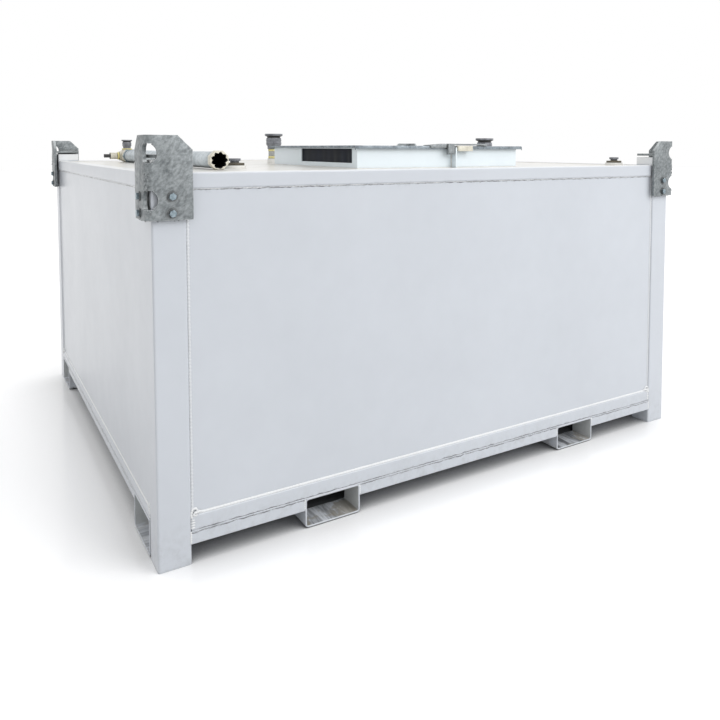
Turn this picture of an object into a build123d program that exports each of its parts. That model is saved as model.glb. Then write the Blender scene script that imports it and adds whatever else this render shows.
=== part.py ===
from build123d import *
import os

# Bunded diesel fuel tank: a square steel bund on fork pockets, with a lifting bracket on each corner post,
# an inner tank inside the bund, and a sunken equipment bay under a hinged lid in the deck.
# Millimetres. X runs to the right, Y to the back, Z up. The origin is at the middle of the plan, on the ground.

os.makedirs("parts", exist_ok=True)

# Frame and bund
WIDTH = 2300                # over the faces of the corner posts, along X
DEPTH = 2300                # over the faces of the corner posts, along Y
RIM_HEIGHT = 1205           # top of the rim above the ground
POST = 100                  # corner posts, square tube
POST_WALL = 5
POST_ROUND = 7
POST_RISE = 36              # how far the posts stand above the rim
RAIL = 50                   # top and bottom rails, square tube
RAIL_WALL = 4
RAIL_ROUND = 6
PANEL_THICK = 5
PANEL_SET = 6               # side panels behind the faces of the rails
DECK_THICK = 5
DECK_SET = 4                # deck below the top of the rim
FLOOR_THICK = 6
EDGE_BAR_HEIGHT = 40        # bars under the bottom rails at the front and the back
EDGE_BAR_THICK = 10
SIDE_BAR_HEIGHT = 28        # bars under the bottom rails at the left and the right

# Fork pockets
POCKET_WIDTH = 206
POCKET_HEIGHT = 100
POCKET_WALL = 6
POCKET_ROUND = 12
POCKET_LIFT = 3             # pockets above the ground
POCKET_SPACING = 1146       # centre to centre of the pockets that run front to back
CROSS_WIDTH = 224           # pockets that run side to side
CROSS_RISE = 20             # their top above the top of the other pockets
CROSS_GAP = 5               # between them and the corner posts

# Lifting brackets
BRACKET_PLATE = 12
BRACKET_LEG = 136           # each leg, from the outer corner of the bend
BRACKET_HEIGHT = 250
BRACKET_ABOVE = 110         # top of the bracket above the rim
BRACKET_BEND = 22           # outer radius of the bend
BRACKET_CHAMFER = 43
PACKER_THICK = 8
PACKER_WIDTH = 56
LIFT_HOLE_RADIUS = 28.5
LIFT_HOLE_IN = 7.5          # centre of a lifting hole on a leg, from the outer corner
LIFT_HOLE_UP = 197          # upper hole above the foot of the bracket
LASH_HOLE_UP = 60           # lower hole above the foot of the bracket
STACK_THICK = 10
STACK_REACH = 112           # stacking plate, from the inner face of each leg
STACK_CUT = 24
STACK_GAP = 7               # between the post and the stacking plate

# Bolts of the lifting brackets
BOLT_RADIUS = 6
BOLT_CLEARANCE = 1
BOLT_IN = 55                # bolts from the outer faces of the post
BOLT_LOW = 20               # lower bolt above the foot of the bracket
BOLT_PITCH = 50
WASHER_RADIUS = 14
WASHER_THICK = 3
BOLT_HEAD = 19              # across flats
BOLT_HEAD_HEIGHT = 8
NUT_HEIGHT = 10
BOLT_END = 4                # thread past the nut

# Inner tank
TANK_WALL = 4
TANK_CLEARANCE = 10         # to the corner posts
TANK_HEADROOM = 46          # under the deck
BEARER_HEIGHT = 40
BEARER_WIDTH = 60
BEARER_PITCH = 700
BAY_CLEARANCE = 20          # from the equipment bay to the inner tank

# Equipment bay and its walls
BAY_WIDTH = 780
BAY_LENGTH = 840
BAY_X = 37                  # middle of the bay from the middle of the tank
BAY_IN = 235                # front wall behind the front faces of the posts
BAY_WALL = 4
BAY_RISE = 75               # walls above the rim
BAY_DEPTH = 300             # floor of the bay below the rim
HATCH_LENGTH = 479          # hose opening in the left wall
HATCH_HEIGHT = 55
HATCH_IN = 43               # opening from the front wall
HATCH_DROP = 3.5            # top of the opening below the top of the wall
FLAP_THICK = 5
FLAP_LAP = 7

# Lid and its lock
LID_THICK = 4
LID_LIP = 13                # front and back lips, from the top of the lid
LID_SIDE_LIP = 9
LID_OVERHANG = 18
LID_GAP = 5                 # above the top of the walls
LOCK_OFF = 48               # lock post to the right of the middle of the bay
LOCK_POST_THICK = 6
LOCK_POST_DEPTH = 32
LOCK_POST_GAP = 6           # under the lip of the lid
LOCK_TOOTH_GAP = 5          # from the front of the lip to the tooth of the lock post
LOCK_TOOTH_RISE = 7         # top of the tooth above the foot of the lip
LOCK_BAR_LEFT = 120         # reach of the lock bar to the left of the lock post
LOCK_BAR_RIGHT = 165
LOCK_BAR_WIDTH = 50
LOCK_BAR_RISE = 9           # top of the lock bar above the lid
LOCK_BAR_TIP = 3            # thickness of the tongue at its tip
LOCK_BAR_THICK = 6.5
LOCK_BAR_FLANGE = 5         # thickness of the flange over the front lip of the lid
LOCK_BAR_LAP = 8            # how far the flange hangs down the lip
LOCK_BAR_FOOT = 14          # foot at the right end of the lock bar
HASP_WIDTH = 30
HASP_THICK = 14
HASP_DROP = 34
HASP_GAP = 6                # to the lock post
PULL_LENGTH = 76
PULL_HEIGHT = 22
PULL_BAR = 8
PULL_REACH = 16
PULL_GAP = 6                # from the lock post to the lid pull
PULL_DROP = 4               # lid pull below the middle of the lip

# Hinges of the lid
HINGE_SPACING = 520
HINGE_OUT = 14              # hinge axis behind the lip of the lid
HINGE_DROP = 9              # hinge axis below the top of the lid
HINGE_RADIUS = 9
PIN_RADIUS = 5
PIN_CLEARANCE = 0.3
KNUCKLE = 40
KNUCKLE_GAP = 1
HINGE_LEAF = 8
HINGE_ARM_DROP = 20         # arm of the hinge below the axis

# Sockets and screw caps on the deck
FILL_IN_X = 401             # fill cap from the left faces of the posts
FILL_IN_Y = 462             # and from their front faces
DIP_IN_X = 105              # dip cap from the right faces of the posts
DIP_IN_Y = 232              # and from their front faces
SOCKET_RADIUS = 42
SOCKET_BORE = 25
SOCKET_RISE = 12            # above the deck
SOCKET_CLEARANCE = 0.3
CAP_DISC_RADIUS = 35.5
CAP_DISC_THICK = 9
CAP_NECK_RADIUS = 16
CAP_NECK_HEIGHT = 7
CAP_HEAD_RADIUS = 22
CAP_HEAD_THICK = 10

# Vents on the deck, each on a nipple in its socket
TANK_VENT_IN = 102          # tank vent from the left wall of the bay
TANK_VENT_BEHIND = 271      # and behind its back wall
BUND_VENT_RIGHT = 162       # bund vent from the right wall of the bay
BUND_VENT_BEHIND = 432      # and behind its front wall
VENT_SOCKET_RADIUS = 33
VENT_SOCKET_RISE = 24
NIPPLE_RADIUS = 27
NIPPLE_WALL = 4
TANK_NIPPLE_LENGTH = 49     # above the socket
BUND_NIPPLE_LENGTH = 28
VENT_BASE_RADIUS = 32
VENT_BASE_HEIGHT = 17
VENT_CUP_RADIUS = 38.5
VENT_CUP_HEIGHT = 40
VENT_CUP_ROUND = 4
VENT_SLOT_RADIUS = 33       # air slot between the cup and the rim
VENT_SLOT_HEIGHT = 5
VENT_RIM_RADIUS = 44.5
VENT_RIM_HEIGHT = 15
VENT_RIM_SLOPE = 5          # underside of the rim, cone to the air slot
TEE_VENT_SHARE = 0.59       # small vent of the tee to a vent of the deck

# Transfer pipe along the left side of the deck
PIPE_RADIUS = 30.2
PIPE_WALL = 3.7
PIPE_IN = 300               # pipe from the left faces of the posts
PIPE_MOUTH_IN = 320         # open mouth from the front faces of the posts
TEE_IN = 377                # middle of the tee from the back faces of the posts
TEE_LENGTH = 130
TEE_RADIUS = 33.5
TEE_BRANCH_RADIUS = 24
TEE_BRANCH_RISE = 6         # branches beyond the body of the tee
PIPE_RING_LENGTH = 24
PIPE_RING_CHAMFER = 3
PIPE_REST = 0.3             # under the ring and the tee
VALVE_RADIUS = 17
VALVE_LENGTH = 46
LEVER_LENGTH = 56
LEVER_WIDTH = 18
LEVER_THICK = 4

# Heights and half sizes that follow
HALF_X = WIDTH / 2
HALF_Y = DEPTH / 2
BASE_Z = POCKET_LIFT + POCKET_HEIGHT
FLOOR_Z = BASE_Z + FLOOR_THICK
POST_TOP = RIM_HEIGHT + POST_RISE
DECK_TOP = RIM_HEIGHT - DECK_SET
DECK_UNDER = DECK_TOP - DECK_THICK
TANK_TOP = DECK_UNDER - TANK_HEADROOM
FOOT_Z = RIM_HEIGHT + BRACKET_ABOVE - BRACKET_HEIGHT
BRACKET_OUT = BRACKET_PLATE + PACKER_THICK
POST_INNER_X = HALF_X - POST
POST_INNER_Y = HALF_Y - POST
CROSS_TOP = BASE_Z + CROSS_RISE
CROSS_Y = POST_INNER_Y - CROSS_GAP - CROSS_WIDTH / 2
CROSS_NEAR = CROSS_Y + CROSS_WIDTH / 2
CROSS_FAR = CROSS_Y - CROSS_WIDTH / 2
WALL_TOP = RIM_HEIGHT + BAY_RISE
BAY_FLOOR = RIM_HEIGHT - BAY_DEPTH
LID_UNDER = WALL_TOP + LID_GAP
LID_TOP = LID_UNDER + LID_THICK
LIP_FOOT = LID_TOP - LID_LIP
BAY_FRONT = BAY_IN - HALF_Y
BAY_BACK = BAY_FRONT + BAY_LENGTH
BAY_LEFT = BAY_X - BAY_WIDTH / 2
BAY_RIGHT = BAY_X + BAY_WIDTH / 2
HATCH_TOP = WALL_TOP - HATCH_DROP
HATCH_FRONT = BAY_FRONT + HATCH_IN
HATCH_BACK = HATCH_FRONT + HATCH_LENGTH
LID_FRONT = BAY_FRONT - LID_OVERHANG
LID_BACK = BAY_BACK + LID_OVERHANG
LOCK_X = BAY_X + LOCK_OFF
HINGE_Y = LID_BACK + HINGE_OUT
HINGE_Z = LID_TOP - HINGE_DROP
PIPE_X = PIPE_IN - HALF_X
PIPE_Z = DECK_TOP + TEE_RADIUS + PIPE_REST
PIPE_FRONT = PIPE_MOUTH_IN - HALF_Y
TEE_Y = HALF_Y - TEE_IN
PIPE_BACK = TEE_Y - TEE_LENGTH / 2
VENT_FOOT = DECK_TOP + VENT_SOCKET_RISE
FILL_CAP = (FILL_IN_X - HALF_X, FILL_IN_Y - HALF_Y)
DIP_CAP = (HALF_X - DIP_IN_X, DIP_IN_Y - HALF_Y)
TANK_VENT = (BAY_LEFT + TANK_VENT_IN, BAY_BACK + TANK_VENT_BEHIND)
BUND_VENT = (BAY_RIGHT + BUND_VENT_RIGHT, BAY_FRONT + BUND_VENT_BEHIND)

CORNERS = {"front_left": (-1, -1), "front_right": (1, -1), "back_left": (-1, 1), "back_right": (1, 1)}


def save(name, *solids):
    """Writes one node: a single solid, or like pieces that do not touch."""
    shape = solids[0] if len(solids) == 1 else Compound(children=[s.solid() for s in solids])
    export_step(shape, os.path.join("parts", name + ".step"))


def block(x0, x1, y0, y1, z0, z1):
    """A plain box between two corners."""
    return Pos((x0 + x1) / 2, (y0 + y1) / 2, (z0 + z1) / 2) * Box(x1 - x0, y1 - y0, z1 - z0)


def tube_section(width, height, wall, radius):
    """The section of a rectangular hollow bar with rounded corners."""
    inside = RectangleRounded(width - 2 * wall, height - 2 * wall, radius - wall)
    return RectangleRounded(width, height, radius) - inside


def bar(plane, section, length, centre):
    """A section run along the normal of a plane, half to each side of a centre."""
    return Pos(*centre) * extrude(plane * section, length / 2, both=True)


def to_corner(shape, side_x, side_y):
    """Carries a piece made for the front left corner to another one."""
    if side_x > 0:
        shape = mirror(shape, Plane.YZ)
    if side_y > 0:
        shape = mirror(shape, Plane.XZ)
    return shape


def rod(radius, start, end, axis):
    """A round bar from start to end along an axis, centred on it."""
    turn = {"X": Rot(0, 90, 0), "Y": Rot(-90, 0, 0), "Z": Rot(0, 0, 0)}[axis]
    return turn * Pos(0, 0, (start + end) / 2) * Cylinder(radius, end - start)


def bolt_heights():
    """The heights of the two bolts in each leg of a bracket."""
    return [FOOT_Z + BOLT_LOW, FOOT_Z + BOLT_LOW + BOLT_PITCH]


def bolt_holes():
    """Through holes of the front left bracket's bolts, in both legs and both faces of the post."""
    start = -BRACKET_OUT - 1
    end = POST_WALL + POST_ROUND
    radius = BOLT_RADIUS + BOLT_CLEARANCE
    holes = []
    for z in bolt_heights():
        holes.append(Pos(BOLT_IN - HALF_X, 0, z) * rod(radius, start - HALF_Y, end - HALF_Y, "Y"))
        holes.append(Pos(0, BOLT_IN - HALF_Y, z) * rod(radius, start - HALF_X, end - HALF_X, "X"))
    return holes


def corner_post():
    """Square tube with a plate in each end, drilled for the bracket."""
    tube = Pos(0, 0, POST_TOP / 2) * extrude(
        tube_section(POST, POST, POST_WALL, POST_ROUND), POST_TOP / 2, both=True)
    lid = RectangleRounded(POST - 2 * POST_WALL, POST - 2 * POST_WALL, POST_ROUND - POST_WALL)
    foot_plate = extrude(lid, POST_WALL)
    top_plate = Pos(0, 0, POST_TOP - POST_WALL) * extrude(lid, POST_WALL)
    post = Pos(POST / 2 - HALF_X, POST / 2 - HALF_Y, 0) * (tube + foot_plate + top_plate)
    return post - bolt_holes()


def lifting_bracket():
    """Plate bent round the corner, chamfered at the top, holed on the bend, with its stacking plate."""
    outer = BRACKET_LEG
    profile = Pos(outer / 2, outer / 2) * Rectangle(outer, outer) - Pos(
        BRACKET_PLATE + outer / 2, BRACKET_PLATE + outer / 2) * Rectangle(outer, outer)
    plate = extrude(profile, BRACKET_HEIGHT)
    bend_outside = plate.edges().filter_by(Axis.Z).sort_by(lambda e: e.center().X + e.center().Y)[0]
    plate = fillet(bend_outside, BRACKET_BEND)
    bend_inside = plate.edges().filter_by(Axis.Z).sort_by(
        lambda e: abs(e.center().X - BRACKET_PLATE) + abs(e.center().Y - BRACKET_PLATE))[0]
    plate = fillet(bend_inside, BRACKET_BEND - BRACKET_PLATE)
    for plane in (Plane.XZ, Plane.YZ):
        cut = plane * make_face(Polyline(
            (outer - BRACKET_CHAMFER, BRACKET_HEIGHT), (outer, BRACKET_HEIGHT - BRACKET_CHAMFER),
            (outer + 1, BRACKET_HEIGHT + 1), (outer - BRACKET_CHAMFER, BRACKET_HEIGHT + 1), close=True))
        plate -= extrude(cut, BRACKET_PLATE + 1, both=True)
    for height in (LASH_HOLE_UP, LIFT_HOLE_UP):
        plate -= Pos(LIFT_HOLE_IN, 0, height) * rod(LIFT_HOLE_RADIUS, -1, BRACKET_BEND, "Y")
        plate -= Pos(0, LIFT_HOLE_IN, height) * rod(LIFT_HOLE_RADIUS, -1, BRACKET_BEND, "X")
    stack_top = POST_TOP + STACK_GAP + STACK_THICK - FOOT_Z
    stack = block(BRACKET_PLATE, BRACKET_PLATE + STACK_REACH, BRACKET_PLATE, BRACKET_PLATE + STACK_REACH,
                  stack_top - STACK_THICK, stack_top)
    upright = stack.edges().filter_by(Axis.Z).sort_by(lambda e: e.center().X + e.center().Y)
    stack = fillet(upright[-1], STACK_CUT)
    stack = chamfer(stack.edges().filter_by(Axis.Z).sort_by(
        lambda e: e.center().X + e.center().Y)[0], LIFT_HOLE_RADIUS + LIFT_HOLE_IN)
    bracket = Pos(-HALF_X - BRACKET_OUT, -HALF_Y - BRACKET_OUT, FOOT_Z) * (plate + stack)
    return bracket - bolt_holes()


def packers():
    """Flat spacers between the legs of a bracket and the faces of the post."""
    low = FOOT_Z
    high = FOOT_Z + 2 * BOLT_LOW + BOLT_PITCH
    middle = BOLT_IN
    front = block(middle - PACKER_WIDTH / 2 - HALF_X, middle + PACKER_WIDTH / 2 - HALF_X,
                  -HALF_Y - PACKER_THICK, -HALF_Y, low, high)
    side = block(-HALF_X - PACKER_THICK, -HALF_X, middle - PACKER_WIDTH / 2 - HALF_Y,
                 middle + PACKER_WIDTH / 2 - HALF_Y, low, high)
    return [front - bolt_holes(), side - bolt_holes()]


def bolt():
    """Hexagon bolt with its washer and nut, along +Y from the outer face of the plate."""
    grip = BRACKET_OUT + POST_WALL
    hexagon = RegularPolygon(BOLT_HEAD / 2, 6, major_radius=False)
    along = Plane.XZ
    head = bar(along, hexagon, BOLT_HEAD_HEIGHT, (0, -WASHER_THICK - BOLT_HEAD_HEIGHT / 2, 0))
    nut = bar(along, hexagon, NUT_HEIGHT, (0, grip + NUT_HEIGHT / 2, 0))
    washer = rod(WASHER_RADIUS, -WASHER_THICK, 0, "Y")
    shank = rod(BOLT_RADIUS, -WASHER_THICK, grip + NUT_HEIGHT + BOLT_END, "Y")
    return head + washer + shank + nut


def bracket_bolts():
    """The four bolts of the front left bracket."""
    one = bolt()
    bolts = []
    for z in bolt_heights():
        bolts.append(Pos(BOLT_IN - HALF_X, -HALF_Y - BRACKET_OUT, z) * one)
        bolts.append(Pos(-HALF_X - BRACKET_OUT, BOLT_IN - HALF_Y, z) * Rot(0, 0, -90) * one)
    return bolts


def rails(low, side_low):
    """Tubes between the posts, level at the top: square at the front and back, from side_low at the sides."""
    high = low + RAIL
    section = tube_section(RAIL, RAIL, RAIL_WALL, RAIL_ROUND)
    side_section = tube_section(RAIL, high - side_low, RAIL_WALL, RAIL_ROUND)
    along_x = 2 * POST_INNER_X
    along_y = 2 * POST_INNER_Y
    middle = (low + high) / 2
    side_middle = (side_low + high) / 2
    return {
        "front": bar(Plane.YZ, section, along_x, (0, RAIL / 2 - HALF_Y, middle)),
        "back": bar(Plane.YZ, section, along_x, (0, HALF_Y - RAIL / 2, middle)),
        "left": bar(Plane.XZ, side_section, along_y, (RAIL / 2 - HALF_X, 0, side_middle)),
        "right": bar(Plane.XZ, side_section, along_y, (HALF_X - RAIL / 2, 0, side_middle)),
    }


def panels():
    """The four walls of the bund, set a little behind the faces of the rails."""
    low = BASE_Z + RAIL
    high = RIM_HEIGHT - RAIL
    face_x = HALF_X - PANEL_SET
    face_y = HALF_Y - PANEL_SET
    return {
        "front": block(-POST_INNER_X, POST_INNER_X, -face_y, PANEL_THICK - face_y, low, high),
        "back": block(-POST_INNER_X, POST_INNER_X, face_y - PANEL_THICK, face_y, low, high),
        "left": block(-face_x, PANEL_THICK - face_x, -POST_INNER_Y, POST_INNER_Y, low, high),
        "right": block(face_x - PANEL_THICK, face_x, -POST_INNER_Y, POST_INNER_Y, low, high),
    }


def bund_floor():
    """Floor plates between the fork pockets that run side to side, and in front of and behind them."""
    edge_x = HALF_X - EDGE_BAR_THICK
    edge_y = HALF_Y - RAIL
    return [
        block(-POST_INNER_X, POST_INNER_X, -edge_y, -CROSS_NEAR, BASE_Z, FLOOR_Z),
        block(-edge_x, edge_x, -CROSS_FAR, CROSS_FAR, BASE_Z, FLOOR_Z),
        block(-POST_INNER_X, POST_INNER_X, CROSS_NEAR, edge_y, BASE_Z, FLOOR_Z),
    ]


def pocket_bore():
    """The clear section of a fork pocket."""
    return RectangleRounded(POCKET_WIDTH - 2 * POCKET_WALL, POCKET_HEIGHT - 2 * POCKET_WALL,
                            POCKET_ROUND - POCKET_WALL)


def cross_pocket(side_y):
    """Fork pocket from side to side, with windows for the pockets that cross it."""
    height = POCKET_HEIGHT + CROSS_RISE
    section = tube_section(CROSS_WIDTH, height, POCKET_WALL, POCKET_ROUND)
    pocket = bar(Plane.YZ, section, WIDTH, (0, side_y * CROSS_Y, POCKET_LIFT + height / 2))
    for side_x in (-1, 1):
        pocket -= bar(Plane.XZ, pocket_bore(), CROSS_WIDTH + 2,
                      (side_x * POCKET_SPACING / 2, side_y * CROSS_Y, POCKET_LIFT + POCKET_HEIGHT / 2))
    return pocket


def long_pocket(side_x):
    """Fork pocket from front to back, in three lengths between the cross pockets."""
    section = tube_section(POCKET_WIDTH, POCKET_HEIGHT, POCKET_WALL, POCKET_ROUND)
    middle = POCKET_LIFT + POCKET_HEIGHT / 2
    place = side_x * POCKET_SPACING / 2
    outer = HALF_Y - CROSS_NEAR
    return [
        bar(Plane.XZ, section, outer, (place, -CROSS_NEAR - outer / 2, middle)),
        bar(Plane.XZ, section, 2 * CROSS_FAR, (place, 0, middle)),
        bar(Plane.XZ, section, outer, (place, CROSS_NEAR + outer / 2, middle)),
    ]


def edge_bars(side_y):
    """Flat bars under a bottom rail, between the posts and the fork pockets."""
    outer = POCKET_SPACING / 2 + POCKET_WIDTH / 2
    inner = POCKET_SPACING / 2 - POCKET_WIDTH / 2
    y0, y1 = sorted((side_y * HALF_Y, side_y * (HALF_Y - EDGE_BAR_THICK)))
    spans = [(-POST_INNER_X, -outer), (-inner, inner), (outer, POST_INNER_X)]
    return [block(x0, x1, y0, y1, BASE_Z - EDGE_BAR_HEIGHT, BASE_Z) for x0, x1 in spans]


def side_bar(side_x):
    """Flat bar under a bottom rail at the left or the right, from fork pocket to fork pocket."""
    x0, x1 = sorted((side_x * HALF_X, side_x * (HALF_X - EDGE_BAR_THICK)))
    return block(x0, x1, -CROSS_FAR, CROSS_FAR, CROSS_TOP - SIDE_BAR_HEIGHT, CROSS_TOP)


def sockets():
    """Every socket through the deck: its place, outer radius and height above the deck."""
    return [(FILL_CAP, SOCKET_RADIUS, SOCKET_RISE), (DIP_CAP, SOCKET_RADIUS, SOCKET_RISE),
            (TANK_VENT, VENT_SOCKET_RADIUS, VENT_SOCKET_RISE), (BUND_VENT, VENT_SOCKET_RADIUS, VENT_SOCKET_RISE)]


def deck():
    """Deck plate inside the rails, notched for the posts, with its opening for the bay and the sockets' holes."""
    edge_x = HALF_X - RAIL
    edge_y = HALF_Y - RAIL
    plate = block(-edge_x, edge_x, -edge_y, edge_y, DECK_UNDER, DECK_TOP)
    notch = block(-HALF_X, -POST_INNER_X, -HALF_Y, -POST_INNER_Y, DECK_UNDER - 1, DECK_TOP + 1)
    for sides in CORNERS.values():
        plate -= to_corner(notch, *sides)
    plate -= block(BAY_LEFT, BAY_RIGHT, BAY_FRONT, BAY_BACK, DECK_UNDER - 1, DECK_TOP + 1)
    for place, radius, _ in sockets():
        plate -= Pos(*place, 0) * rod(radius + SOCKET_CLEARANCE, DECK_UNDER - 1, DECK_TOP + 1, "Z")
    return plate


def inner_tank():
    """Closed tank inside the bund, stepped down under the bay, on its bearers."""
    half_x = POST_INNER_X - TANK_CLEARANCE
    half_y = POST_INNER_Y - TANK_CLEARANCE
    low = FLOOR_Z + BEARER_HEIGHT
    shell = block(-half_x, half_x, -half_y, half_y, low, TANK_TOP)
    space = block(TANK_WALL - half_x, half_x - TANK_WALL, TANK_WALL - half_y, half_y - TANK_WALL,
                  low + TANK_WALL, TANK_TOP - TANK_WALL)
    gap = BAY_CLEARANCE
    step = block(BAY_LEFT - gap, BAY_RIGHT + gap, BAY_FRONT - gap, BAY_BACK + gap,
                 BAY_FLOOR - BAY_WALL - gap, TANK_TOP + 1)
    gap += TANK_WALL
    step_outside = block(BAY_LEFT - gap, BAY_RIGHT + gap, BAY_FRONT - gap, BAY_BACK + gap,
                         BAY_FLOOR - BAY_WALL - gap, TANK_TOP + 1)
    tank = (shell - step) - (space - step_outside)
    for place, _, _ in sockets():
        tank -= Pos(*place, 0) * rod(SOCKET_BORE, TANK_TOP - TANK_WALL - 1, TANK_TOP + 1, "Z")
    for y in (-BEARER_PITCH, 0, BEARER_PITCH):
        tank += block(-half_x, half_x, y - BEARER_WIDTH / 2, y + BEARER_WIDTH / 2, FLOOR_Z, low)
    return tank


def bay_walls():
    """The walls of the equipment bay, from its floor up to the lid."""
    left = block(BAY_LEFT, BAY_LEFT + BAY_WALL, BAY_FRONT + BAY_WALL, BAY_BACK - BAY_WALL, BAY_FLOOR, WALL_TOP)
    left -= block(BAY_LEFT - 1, BAY_LEFT + BAY_WALL + 1, HATCH_FRONT, HATCH_BACK,
                  HATCH_TOP - HATCH_HEIGHT, HATCH_TOP)
    return {
        "front": block(BAY_LEFT, BAY_RIGHT, BAY_FRONT, BAY_FRONT + BAY_WALL, BAY_FLOOR, WALL_TOP),
        "back": block(BAY_LEFT, BAY_RIGHT, BAY_BACK - BAY_WALL, BAY_BACK, BAY_FLOOR, WALL_TOP),
        "left": left,
        "right": block(BAY_RIGHT - BAY_WALL, BAY_RIGHT, BAY_FRONT + BAY_WALL, BAY_BACK - BAY_WALL,
                       BAY_FLOOR, WALL_TOP),
    }


def hose_flap():
    """Rubber flap behind the hose opening in the left wall."""
    inside = BAY_LEFT + BAY_WALL
    return block(inside, inside + FLAP_THICK, HATCH_FRONT - FLAP_LAP, HATCH_BACK + FLAP_LAP,
                 HATCH_TOP - HATCH_HEIGHT - FLAP_LAP, WALL_TOP)


def hinge_stations():
    """Middle of each hinge along X."""
    return [BAY_X - HINGE_SPACING / 2, BAY_X + HINGE_SPACING / 2]


def bay_lid():
    """Folded plate lid with a lip all round, shallower at its sides, and two knuckles at each hinge."""
    left = BAY_LEFT - LID_OVERHANG
    right = BAY_RIGHT + LID_OVERHANG
    lid = block(left, right, LID_FRONT, LID_BACK, LIP_FOOT, LID_TOP)
    lid -= block(left + LID_THICK, right - LID_THICK, LID_FRONT + LID_THICK, LID_BACK - LID_THICK,
                 LIP_FOOT - 1, LID_UNDER)
    lid -= block(left - 1, right + 1, LID_FRONT + LID_THICK, LID_BACK - LID_THICK,
                 LIP_FOOT - 1, LID_TOP - LID_SIDE_LIP)
    axis = Pos(0, HINGE_Y, HINGE_Z)
    for x in hinge_stations():
        for side in (-1, 1):
            middle = x + side * (KNUCKLE + KNUCKLE_GAP)
            start = middle - KNUCKLE / 2
            end = middle + KNUCKLE / 2
            lid += block(start, end, LID_BACK, HINGE_Y, HINGE_Z - HINGE_LEAF / 2, HINGE_Z + HINGE_LEAF / 2)
            lid += axis * rod(HINGE_RADIUS, start, end, "X")
            lid -= axis * rod(PIN_RADIUS + PIN_CLEARANCE, start - 1, end + 1, "X")
    return lid


def hinge_frame_halves():
    """The fixed half of each hinge: an arm on the back wall, a knuckle and the pin."""
    axis = Pos(0, HINGE_Y, HINGE_Z)
    low = HINGE_Z - HINGE_ARM_DROP
    pin_reach = 1.5 * KNUCKLE + KNUCKLE_GAP
    halves = []
    for x in hinge_stations():
        start = x - KNUCKLE / 2
        end = x + KNUCKLE / 2
        half = block(start, end, BAY_BACK, HINGE_Y + HINGE_LEAF / 2, low, low + HINGE_LEAF)
        half += block(start, end, HINGE_Y - HINGE_LEAF / 2, HINGE_Y + HINGE_LEAF / 2, low, HINGE_Z)
        half += axis * rod(HINGE_RADIUS, start, end, "X")
        half += axis * rod(PIN_RADIUS, x - pin_reach, x + pin_reach, "X")
        halves.append(half)
    return halves


def lock_post():
    """Upright plate on the front wall that the lid is locked to, with a tooth up in front of the lip."""
    front = BAY_FRONT - LOCK_POST_DEPTH
    tooth_back = LID_FRONT - LOCK_TOOTH_GAP
    shoulder = LIP_FOOT - LOCK_POST_GAP
    top = LIP_FOOT + LOCK_TOOTH_RISE
    outline = Polyline((BAY_FRONT, DECK_TOP), (front, DECK_TOP), (front, top), (tooth_back, top),
                       (tooth_back, shoulder), (BAY_FRONT, shoulder), close=True)
    return Pos(LOCK_X, 0, 0) * extrude(Plane.YZ * make_face(outline), LOCK_POST_THICK / 2, both=True)


def lock_bar():
    """Bar along the front edge of the lid: a tongue that rises from the left with a flange down the lip,
    the hasp bent down over the lip, and an arm to the right that stands off the lid on its foot."""
    left = LOCK_X - LOCK_BAR_LEFT
    right = LOCK_X + LOCK_BAR_RIGHT
    top = LID_TOP + LOCK_BAR_RISE
    arm_under = top - LOCK_BAR_THICK
    hasp_right = LOCK_X - LOCK_POST_THICK / 2 - HASP_GAP
    side = Polyline(
        (left, LID_TOP), (left, LID_TOP + LOCK_BAR_TIP), (hasp_right - HASP_WIDTH, top), (right, top),
        (right, LID_TOP), (right - LOCK_BAR_FOOT, LID_TOP), (right - LOCK_BAR_FOOT, arm_under),
        (hasp_right, arm_under), (hasp_right, LID_TOP), close=True)
    front = LID_FRONT - LOCK_BAR_FLANGE
    back = LID_FRONT + LOCK_BAR_WIDTH
    bar_body = Pos(0, back, 0) * extrude(Plane.XZ * make_face(side), back - front)
    flange = block(left, hasp_right - HASP_WIDTH, front, LID_FRONT, LID_TOP - LOCK_BAR_LAP, LID_TOP + LOCK_BAR_TIP)
    hasp = block(hasp_right - HASP_WIDTH, hasp_right, LID_FRONT - HASP_THICK, LID_FRONT,
                 LID_TOP - HASP_DROP, top)
    hasp = fillet(hasp.edges().filter_by(Axis.X).sort_by(Axis.Y)[:2], HASP_THICK / 2 - 1)
    return bar_body + flange + hasp


def lid_pull():
    """Bow handle on the front lip of the lid."""
    left = LOCK_X + LOCK_POST_THICK / 2 + PULL_GAP
    right = left + PULL_LENGTH
    middle = LID_TOP - LID_LIP / 2 - PULL_DROP
    bow = block(left, right, LID_FRONT - PULL_REACH, LID_FRONT, middle - PULL_HEIGHT / 2, middle + PULL_HEIGHT / 2)
    bow -= block(left + PULL_BAR, right - PULL_BAR, LID_FRONT - PULL_REACH + PULL_BAR, LID_FRONT + 1,
                 middle - PULL_HEIGHT, middle + PULL_HEIGHT)
    uprights = bow.edges().filter_by(Axis.Z).sort_by(Axis.Y)[:2]
    return fillet(uprights, PULL_BAR - 1)


def deck_socket(place, radius, rise):
    """Pipe socket from the inner tank's roof up through the deck."""
    body = rod(radius, TANK_TOP, DECK_TOP + rise, "Z")
    body -= rod(SOCKET_BORE, TANK_TOP - 1, DECK_TOP + rise + 1, "Z")
    return Pos(*place, 0) * body


def turned_piece(outline, place, z):
    """A solid turned about an upright axis from its outline of radii and heights, stood at a place."""
    face = Plane.XZ * make_face(Polyline(*outline, close=True))
    return Pos(*place, z) * revolve(face, Axis.Z)


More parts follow.
